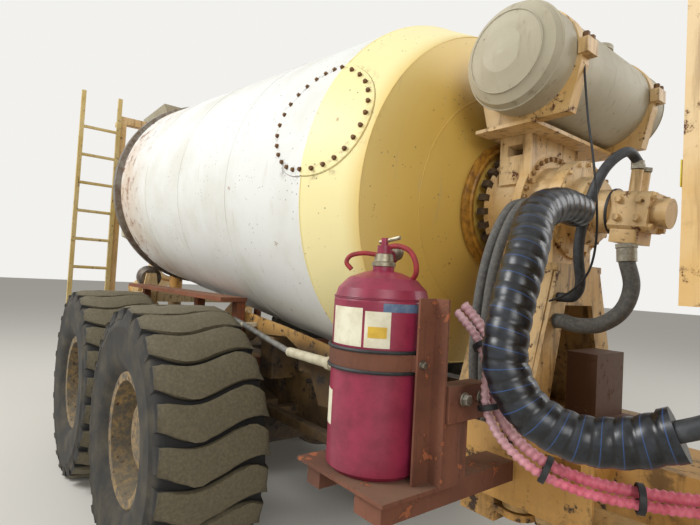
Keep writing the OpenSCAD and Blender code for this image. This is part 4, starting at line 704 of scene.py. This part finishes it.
# Motor: band, screws at its end's corners and on its side, the fittings of its hoses as rods of
# (start, end, radius, sides), and a thin cable from the tank's strap
motorTrim = {
    "bandAt": -173, "band": [(95, -6), (99, -5), (99, 5), (95, 6)],
    "end": -330, "endScrews": [(62, 62), (-62, 62), (62, -62), (-62, -62)],
    "side": -255, "sideScrews": [(44, 40), (44, -36), (-30, 40), (-30, -36)], "sideFace": -80,
    "fittings": [((2150, -50, 1972), (2151, -50, 1956), 44, 8),
        ((2151, -50, 1958), (2154, -50, 1900), 38, 24),
        ((2178, -36, 2279), (2178.5, -36, 2295), 28, 6),
        ((2178, 36, 2279), (2178.5, 36, 2295), 28, 6),
        ((2178, -36, 2294), (2178, -40, 2312), 25, 20)],
    "cable": [(1850, -250, 2944), (1925, -262, 2925), (2000, -275, 2870), (2058, -290, 2760),
        (2074, -296, 2620), (2096, -300, 2440), (2120, -300, 2290), (2140, -300, 2120),
        (2142, -296, 1960), (2110, -285, 1840), (2030, -270, 1760), (1946, -262, 1722)]
}
mesh = bmesh.new()
turned(mesh, onDrum(motorTrim["bandAt"]), motorTrim["band"], 48)
newPiece("motorBand", mesh, "blackNylon")
mesh = bmesh.new()
places = [(motorTrim["end"], (x, y, 0), 180) for x, y in motorTrim["endScrews"]]
places += [(motorTrim["side"], (x, motorTrim["sideFace"], z), 90) for x, z in motorTrim["sideScrews"]]
stamp(mesh, boltPart(26, 16), [onDrum(station) @ Matrix.Translation(Vector(step) / 1000) @ spun(turn, "X")
                               for station, step, turn in places])
newPiece("motorScrews", mesh, "machineEnamel")
mesh = bmesh.new()
for fitting in motorTrim["fittings"]:
    rod(mesh, *fitting)
newPiece("motorFittings", mesh, "greyFitting")
newPiece("thinCable", tube(motorTrim["cable"], 8, 8, 4.5)[0], "blackNylon")
print("drum and drive dressed")

# Tank: rolled seams at the ends as (y, radius, size), and bolts on the strap's ears
tank = {"x": 1840, "z": 2725, "seams": [(-436, 219, 4), (546, 219, 4), (-497, 166, 2), (607, 166, 2)],
        "ears": 247, "earZ": 2755, "straps": (-300, 400)}
mesh = bmesh.new()
for y, radius, size in tank["seams"]:
    ringBead(mesh, facing(tank["x"], y, tank["z"], (0, 1, 0)), radius, size)
newPiece("tankSeams", mesh, "tankEnamel")
mesh = bmesh.new()
stamp(mesh, boltPart(24, 22), [facing(tank["x"] + side * tank["ears"], y + step, tank["earZ"], (0, 0, 1))
                               for side in (-1, 1) for y in tank["straps"] for step in (-22, 22)])
newPiece("tankBolts", mesh, "rustedBolt")

# Bottle: labels and patches as (name, finish, low, high, start, end, thickness), the band's rubber
# edges, the seam, the red hose with its grip, and the valve
bottle = {
    "x": 1800, "y": -1060, "radius": 158, "seam": 1708, "bandEdges": (1489, 1551),
    "patches": [("labelLeft", "blankLabel", 1562, 1680, -111, -63, 0.9),
        ("labelRight", "blankLabel", 1562, 1672, -60, -31, 0.9),
        ("labelBlock", "yellowInk", 1592, 1626, -56, -35, 1.6),
        ("bluePatch", "bluePatch", 1672, 1698, -40, 22, 0.9),
        ("whitePatch", "blankLabel", 1300, 1410, -128, -106, 0.9)],
    "hose": [(1800, -1060, 1872), (1835, -1045, 1884), (1880, -1028, 1872), (1905, -1020, 1838),
        (1908, -1015, 1800), (1890, -1010, 1776)],
    "grip": [(1790, -1075, 1852), (1755, -1110, 1856), (1722, -1140, 1846), (1712, -1150, 1822),
        (1728, -1140, 1800)],
    "collarAt": 1813, "collar": [(25, 0), (36, 0), (40, 2), (40, 14), (33, 18), (30, 42), (25, 44)],
    "valve": [((1800, -1010, 1866), (1800, -996, 1866), 27, 24),
        ((1790, -1080, 1852), (1800, -1040, 1852), 13, 8),
        ((1780, -1064, 1896), (1852, -1040, 1912), 7, 8)]
}


def onBottle(z):
    return Matrix.Translation(at(bottle["x"], bottle["y"], z))


for name, finish, low, high, start, end, thick in bottle["patches"]:
    mesh = bmesh.new()
    inner, outer = bottle["radius"] - 1, bottle["radius"] + thick
    turned(mesh, onBottle(0) @ spun(start, "Z"), [(inner, low), (inner, high), (outer, high), (outer, low)],
           24, end - start)
    newPiece(name, mesh, finish)
mesh = bmesh.new()
for z in bottle["bandEdges"]:
    ringBead(mesh, onBottle(z), 165, 6)
newPiece("bandEdges", mesh, "blackNylon")
mesh = bmesh.new()
for step in (0, 4):
    ringBead(mesh, onBottle(bottle["seam"] + step), 158, 1.5)
newPiece("bottleSeam", mesh, "bottleEnamel")
mesh = tube(bottle["hose"], 6, 12, 9)[0]
tube(bottle["grip"], 6, 12, 8, mesh)
newPiece("bottleHose", mesh, "redRubber")
mesh = bmesh.new()
turned(mesh, facing(bottle["x"], bottle["y"], bottle["collarAt"], (0, 0, 1)), bottle["collar"], 32)
for stub in bottle["valve"]:
    rod(mesh, *stub)
newPiece("bottleValve", mesh, "brassFitting")

# Stand: two zinc bolts on the box beside the post as (place, turn), and one through the band's ear
stand = {"box": [((2074, -950, 1422), 0.3), ((2074, -870, 1422), 0.7)], "ear": (1998, -1062, 1520)}
mesh = bmesh.new()
stamp(mesh, boltPart(31, 15), [facing(*place, (1, 0, 0)) @ Matrix.Rotation(turn, 4, "Z")
                               for place, turn in stand["box"]])
stamp(mesh, boltPart(19, 12), [facing(*stand["ear"], (1, 0, 0))])
newPiece("standBolts", mesh, "zincSteel")
print("bottle and stand dressed")

# Spiral-wrapped bundle and the hoses that leave it, on the routes of the part's source
bundle = {
    "radius": 59, "swell": 5, "collarAt": 0.2, "collar": 7, "collarHalf": 22, "end": 30,
    "bend": ((2300, -900, 1400), (2800, -780, 1640)),
    "route": [(2090, -340, 2075), (2110, -520, 2070), (2130, -690, 2010), (2180, -820, 1880),
        (2195, -900, 1740), (2200, -940, 1620), (2215, -950, 1530), (2275, -930, 1435),
        (2375, -880, 1385), (2490, -830, 1395), (2590, -800, 1440)],
    "front": [(2560, -805, 1432, 30), (2650, -790, 1480, 40), (2740, -780, 1560, 60),
        (2805, -780, 1640, 75), (2820, -780, 1700, 80), (2820, -780, 1730, 80),
        (2820, -780, 1749.3, 80)]
}


def wrapRadius(along, angle, length):
    s = bundle
    if abs(along - s["collarAt"] * length) < s["collarHalf"] or length - along < s["end"]:
        return s["radius"] + s["collar"]
    phase = (along / wrapPitch + angle / (2 * pi)) % 1
    return s["radius"] + s["swell"] * sin(pi * phase) ** 0.6


def crossing(piece, start, end):  # a hose fixed to both units, with its place baked into its mesh
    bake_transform(piece)


mesh, length = tube(bundle["route"], 6, 28, wrapRadius)
piece = newPiece("hoseWrap", mesh, "spiralWrap", None, 50)
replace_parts(piece, "hose_bundle")
crossing(piece, *bundle["bend"])
print("wrap", round(length))
for k in (-1, 0, 1):
    route = [(x, y - apart * k, z) for x, y, z, apart in bundle["front"]]
    mesh, length = tube(route, 12, 16, lambda along, angle, length: 24 if length - along > 60 else 27)
    crossing(newPiece("frontHose" + str(k + 2), mesh, "hoseRubber", None, 50), *bundle["bend"])
    print("front hose", round(length))

# Pink conduits with spiral ribs, as (name, shift, radius), and their ties
conduit = {
    "pitch": 20, "rib": 2.3, "ties": (0.09, 0.2, 0.33, 0.47, 0.62),
    "pair": [("conduitMain", (0, 0, 0), 16), ("conduitBranch", (0, -36, -22), 13)],
    "bend": ((2500, -660, 1230), (3150, -365, 1090)),
    "tie": [(20.5, -9), (21.5, -8), (21.5, 8), (20.5, 9), (18, 9), (18, -9)],
    "route": [(1960, -830, 1700), (2040, -820, 1620), (2085, -830, 1540), (2100, -850, 1460),
        (2120, -850, 1390), (2170, -830, 1320), (2260, -800, 1265), (2370, -740, 1235),
        (2500, -660, 1230), (2640, -550, 1230), (2790, -445, 1200), (2950, -385, 1150),
        (3100, -365, 1095), (3210, -360, 1075), (3245, -360, 1075), (3269.4, -360, 1075)]
}
for name, shift, radius in conduit["pair"]:
    mesh, length = tube(shifted(conduit["route"], shift), 4.5, 12, lambda along, angle, length:
                        radius + conduit["rib"] * cos(2 * pi * along / conduit["pitch"] + angle))
    piece = newPiece(name, mesh, "conduitPlastic", None, 60)
    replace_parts(piece, "conduits")
    crossing(piece, *conduit["bend"])
    print(name, round(length))
mesh = bmesh.new()
path = smoothPath(shifted(conduit["route"], (0, -18, -11)), 10)[0]
for share in conduit["ties"]:
    i = round(share * (len(path) - 1))
    place = facing(*path[i], (path[i + 1] - path[i - 1]).normalized())
    across = place.inverted().to_3x3() @ Vector(conduit["pair"][1][1])
    turn = Matrix.Rotation(atan2(across.y, across.x), 4, "Z")
    turned(mesh, place @ turn @ Matrix.Diagonal((1.9, 1, 1, 1)), conduit["tie"], 32)
crossing(newPiece("conduitTies", mesh, "blackNylon", None), *conduit["bend"])

# Hoses at the motor, and the two ribbed sleeves by the gearbox, as (name, radius, finish, route)
motorHoses = [
    ("bigHose", 31, "hoseSleeve", [(2150, -50, 1971), (2152, -50, 1910), (2185, -75, 1800),
            (2170, -120, 1700), (2110, -170, 1640), (2030, -195, 1630),
            (1980, -200, 1640), (1960, -200, 1640), (1940.7, -200, 1640)]),
    ("loopHose", 20, "hoseRubber", [(2178, -36, 2279), (2178, -42, 2310), (2165, -120, 2335),
            (2125, -215, 2250), (2085, -262, 2090), (2062, -268, 1940),
            (2055, -230, 1800), (2015, -192, 1748), (1980, -185, 1740),
            (1960, -185, 1740), (1940.7, -185, 1740)])
]
motorHoses += [("sleevedHose" + str(x), 20, "hoseSleeve",
                [(x, -195.8, 2144), (x, -225, 2144), (x, -255, 2143), (x + 4, -370, 2105),
                 (x + 10, -470, 1995), (x + 18, -550, 1835), (x + 22, -590, 1650), (x + 12, -580, 1450),
                 (x, -538, 1290), (x - 8, -525, 1225), (x - 8, -525, 1181.2)]) for x in (1811, 1855)]
for name, radius, finish, route in motorHoses:
    rib = 0.5 if finish == "hoseSleeve" else 0
    mesh, length = tube(route, 9, 16, lambda along, angle, length:
                        radius + rib * cos(2 * pi * along / 9 + angle * 3))
    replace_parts(newPiece(name, mesh, finish, "chassis", 50), "motor_hoses")
    print(name, round(length))
print("hoses made")

# Side rail under the drum at the right, the water pipe along it, and the tail lamps
sideRail = {
    "y": -606, "thick": 12,
    "outline": [(-255, 1440), (-217, 1500), (0, 1497), (464, 1456), (950, 1402), (1500, 1395),
        (1500, 1226), (1100, 1226), (1060, 1120), (944, 1085), (843, 1075), (800, 1150),
        (749, 1226), (630, 1226), (601, 1351), (470, 1400), (120, 1375), (4, 1313)],
    "blocks": [((140, -600, 1110), (300, -420, 1375)), ((1060, -600, 1110), (1220, -420, 1352)),
        ((250, -612, 890), (1500, -560, 945)), ((300, -560, 890), (360, -420, 945)),
        ((1360, -560, 890), (1420, -420, 945))]
}
mesh = bmesh.new()
face = mesh.faces.new([mesh.verts.new(at(x, sideRail["y"] - sideRail["thick"] / 2, z))
                       for x, z in sideRail["outline"]])
made = bmesh.ops.extrude_face_region(mesh, geom=[face])["geom"]
bmesh.ops.translate(mesh, verts=[g for g in made if isinstance(g, bmesh.types.BMVert)],
                    vec=(0, sideRail["thick"] / 1000, 0))
for low, high in sideRail["blocks"]:
    block(mesh, low, high, 3)
newPiece("sideRail", mesh, "frameEnamel")
waterPipe = {
    "bend": [(-60, -700, 1452), (300, -700, 1396), (657, -700, 1341), (680, -700, 1341)],
    "pipe": ((660, -700, 1341), (1480, -700, 1341), 26, 32),
    "sleeve": ((1030, -700, 1341), (1066, -700, 1341), 33, 32),
    "brackets": [((60, -718, 1418), (90, -612, 1444)), ((1036, -726, 1318), (1060, -612, 1350)),
        ((1440, -726, 1318), (1464, -612, 1350))]
}
newPiece("pipeBend", tube(waterPipe["bend"], 20, 20, 17)[0], "pipeGrey", "chassis", 50)
mesh = bmesh.new()
rod(mesh, *waterPipe["pipe"])
rod(mesh, *waterPipe["sleeve"])
for low, high in waterPipe["brackets"]:
    block(mesh, low, high)
newPiece("waterPipe", mesh, "pipeCream")
tailLamp = {"x": (-3142, -3120), "y": (-780, 780), "half": 80, "z": (840, 915)}
mesh = bmesh.new()
for y in tailLamp["y"]:
    (back, front), (low, high) = tailLamp["x"], tailLamp["z"]
    block(mesh, (back, y - tailLamp["half"], low), (front, y + tailLamp["half"], high), 5)
newPiece("tailLamps", mesh, "redLens")
print("side rail made")

# Cooler tower: a tilted blade in each louvre, and the reflective band across its rear face
tower = {"rear": 2680, "right": -1120, "first": 1820, "pitch": 60, "count": 8, "tilt": 38,
         "band": (1974, 2026)}
mesh = bmesh.new()
for k in range(tower["count"]):
    z = tower["first"] + tower["pitch"] * k + 15
    block(mesh, (tower["rear"] - 4, -1062, z - 1.5), (tower["rear"] + 34, -738, z + 1.5), 0,
          spun(tower["tilt"], "Y"))
    block(mesh, (2758, tower["right"] - 4, z - 1.5), (3202, tower["right"] + 34, z + 1.5), 0,
          spun(-tower["tilt"], "X"))
newPiece("louvres", mesh, "machineEnamel", "front_unit")
mesh = bmesh.new()
low, high = tower["band"]
block(mesh, (tower["rear"] - 6, -1114, low), (tower["rear"] - 3, -686, high), 1)
newPiece("towerBand", mesh, "reflectiveTape", "front_unit")

# Cab: rubber round the panes, wipers, mirrors' glass, door handle and lamps' rims
cab = {
    "front": 4745, "rear": 3455, "knee": 2360, "lean": 150 / 1020, "screen": (2380, 3230, 690),
    "back": (2310, 3180, 630), "mirror": (4555, 970, 1150, 2956, 3260), "seal": 11, "wipers": (-330, 330),
    "lamps": (-560, 560), "lampZ": 980, "lampRadius": 88
}
handle = {"plate": (95, 235, 2085, 2165), "bar": (110, 220), "legs": (116, 214), "z": 2125, "off": 22}


def screenX(z):  # outer face of the cab's front at a height
    return cab["front"] - max(0, z - cab["knee"]) * cab["lean"]


def paneSeal(mesh, lowX, highX, low, high, half):  # rods round a pane, with a ball at each corner
    corners = [(lowX, -half, low), (lowX, half, low), (highX, half, high), (highX, -half, high)]
    for a, b in zip(corners, corners[1:] + corners[:1]):
        rod(mesh, a, b, cab["seal"], 10)
        bmesh.ops.create_uvsphere(mesh, u_segments=10, v_segments=6, radius=cab["seal"] / 1000,
                                  matrix=Matrix.Translation(at(*a)))


def noseOf(node):  # the station of a node's front
    return (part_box(node)[1].x - middleX) * 1000


mesh = bmesh.new()
low, high, half = cab["screen"]
paneSeal(mesh, screenX(low), screenX(high), low, high, half)
paneSeal(mesh, cab["rear"], cab["rear"], *cab["back"])
newPiece("paneSeals", mesh, "blackNylon", "front_unit")
mesh = bmesh.new()
for y in cab["wipers"]:  # cap of the motor, arm, blade, and the clip between them
    rod(mesh, (4738, y, 2340), (4762, y, 2342), 16, 16)
    rod(mesh, (4757, y, 2342), (screenX(2640) + 9, y - 60, 2640), 6, 8)
    rod(mesh, (screenX(2430) - 8, y - 130, 2430), (screenX(2900) - 8, y + 10, 2900), 7, 6)
    rod(mesh, (screenX(2640) + 9, y - 60, 2640), (screenX(2660) - 6, y - 62, 2660), 5, 8)
newPiece("wipers", mesh, "blackNylon", "front_unit")
x, inner, outer, low, high = cab["mirror"]
mesh = bmesh.new()
for side in (-1, 1):
    a, b = sorted((side * (inner + 10), side * (outer - 10)))
    block(mesh, (x - 4, a, low + 6), (x, b, high - 6), 1)
newPiece("mirrorPanes", mesh, "mirrorGlass", "front_unit")
low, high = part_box("cab_door")
rear, face = (low.x - middleX) * 1000, high.y * 1000
out, z = face + handle["off"], handle["z"]
mesh = bmesh.new()
start, end, low, high = handle["plate"]
block(mesh, (rear + start, face, low), (rear + end, face + 4, high), 3)
start, end = handle["bar"]
rod(mesh, (rear + start, out, z), (rear + end, out, z), 9, 12)
for leg in handle["legs"]:
    rod(mesh, (rear + leg, face, z), (rear + leg, out, z), 7, 12)
newPiece("doorHandle", mesh, "blackNylon", bodyOf["cab_door"])
mesh = bmesh.new()
for y in cab["lamps"]:
    ringBead(mesh, facing(noseOf("lamps") - 3, y, cab["lampZ"], (1, 0, 0)), cab["lampRadius"], 6)
newPiece("lampRims", mesh, "blackNylon", "front_unit")

# Bonnet: upright bars behind the grille, and two rubber latches on each side
bonnetTrim = {"bars": 25, "first": -456, "pitch": 38, "back": 92, "barZ": (1392, 1838),
              "latches": (5050, 6350), "half": 722}
mesh = bmesh.new()
x = noseOf("bonnet") - bonnetTrim["back"]
low, high = bonnetTrim["barZ"]
for k in range(bonnetTrim["bars"]):
    y = bonnetTrim["first"] + bonnetTrim["pitch"] * k
    rod(mesh, (x, y, low), (x, y, high), 4, 6)
newPiece("grilleBars", mesh, "blackNylon", bodyOf["bonnet"])
mesh = bmesh.new()
for side in (-1, 1):
    for x in bonnetTrim["latches"]:
        y = side * bonnetTrim["half"]
        a, b = sorted((y - side * 2, y + side * 14))
        block(mesh, (x, a, 1290), (x + 46, b, 1400), 4)
        rod(mesh, (x - 8, y + side * 9, 1392), (x + 54, y + side * 9, 1392), 8, 10)
newPiece("bonnetLatches", mesh, "blackNylon", bodyOf["bonnet"])
print("front unit dressed")

# Camera at the photograph's place by the steering joint, looking back and inwards
view = {"place": (3010, -2160, 1765), "yaw": 38.30, "pitch": 1.99, "roll": 3.18, "focal": 487 / 700,
        "sensor": 36}


def placeCamera():
    yaw, pitch, roll = (radians(view[k]) for k in ("yaw", "pitch", "roll"))
    ahead = Vector((-cos(yaw) * cos(pitch), sin(yaw) * cos(pitch), sin(pitch)))
    right = ahead.cross(Vector((0, 0, 1))).normalized()
    up = right.cross(ahead)
    rolled = (right * cos(roll) + up * sin(roll), up * cos(roll) - right * sin(roll), -ahead)
    data = bpy.data.cameras.new("camera")
    data.sensor_width = view["sensor"]
    data.lens = view["focal"] * view["sensor"]
    data.clip_start = 0.02
    data.clip_end = 200
    camera = bpy.data.objects.new("camera", data)
    camera.matrix_world = Matrix.Translation(at(*view["place"])) @ Matrix(rolled).transposed().to_4x4()
    scene.collection.objects.link(camera)
    scene.camera = camera


placeCamera()

# Pale floor, pale world, and soft lamps as (name, place, target, size, power)
studio = {
    "floor": "#d9d6cf", "sky": "#f2f1ee", "fill": 0.52,
    "lamps": [("key", (-4.5, -9.0, 8.5), (-1.0, 0, 1.2), 5.0, 950),
        ("rim", (7, 8, 7), (0, 0, 1), 6.0, 500), ("front", (9, -6, 5), (1.5, 0, 1.5), 5.0, 380)]
}


def makeStudio():
    grid = bmesh.new()
    bmesh.ops.create_grid(grid, x_segments=1, y_segments=1, size=60)
    floor = bpy.data.objects.new("floor", keepPart("floor", grid))
    scene.collection.objects.link(floor)
    add = startMaterial("studioFloor")
    add("OutputMaterial", {"Surface": add("BsdfDiffuse", {"Color": linear(studio["floor"])})})
    floor.data.materials.append(bpy.data.materials["studioFloor"])
    world = bpy.data.worlds.new("studioWorld")
    world.use_nodes = True
    world.node_tree.nodes.clear()
    add = partial(addNode, world.node_tree)
    rays = add("LightPath").node.outputs
    seen = add("Math MAXIMUM", add("Math MAXIMUM", rays["Is Camera Ray"], rays["Is Glossy Ray"]),
               rays["Is Transmission Ray"])
    level = add("MapRange", seen, 0, 1, studio["fill"], 1.0, interpolation_type="LINEAR")
    sky = add("Background", {"Color": linear(studio["sky"]), "Strength": level})
    add("OutputWorld", {"Surface": sky})
    scene.world = world
    for name, place, target, size, power in studio["lamps"]:
        lamp = bpy.data.lights.new(name, "AREA")
        lamp.size = size
        lamp.energy = power
        lampObject = bpy.data.objects.new(name, lamp)
        lampObject.location = place
        lampObject.rotation_euler = (Vector(target) - Vector(place)).to_track_quat("-Z", "Y").to_euler()
        scene.collection.objects.link(lampObject)


makeStudio()
scene.view_settings.view_transform = "Standard"
print("camera and studio placed")
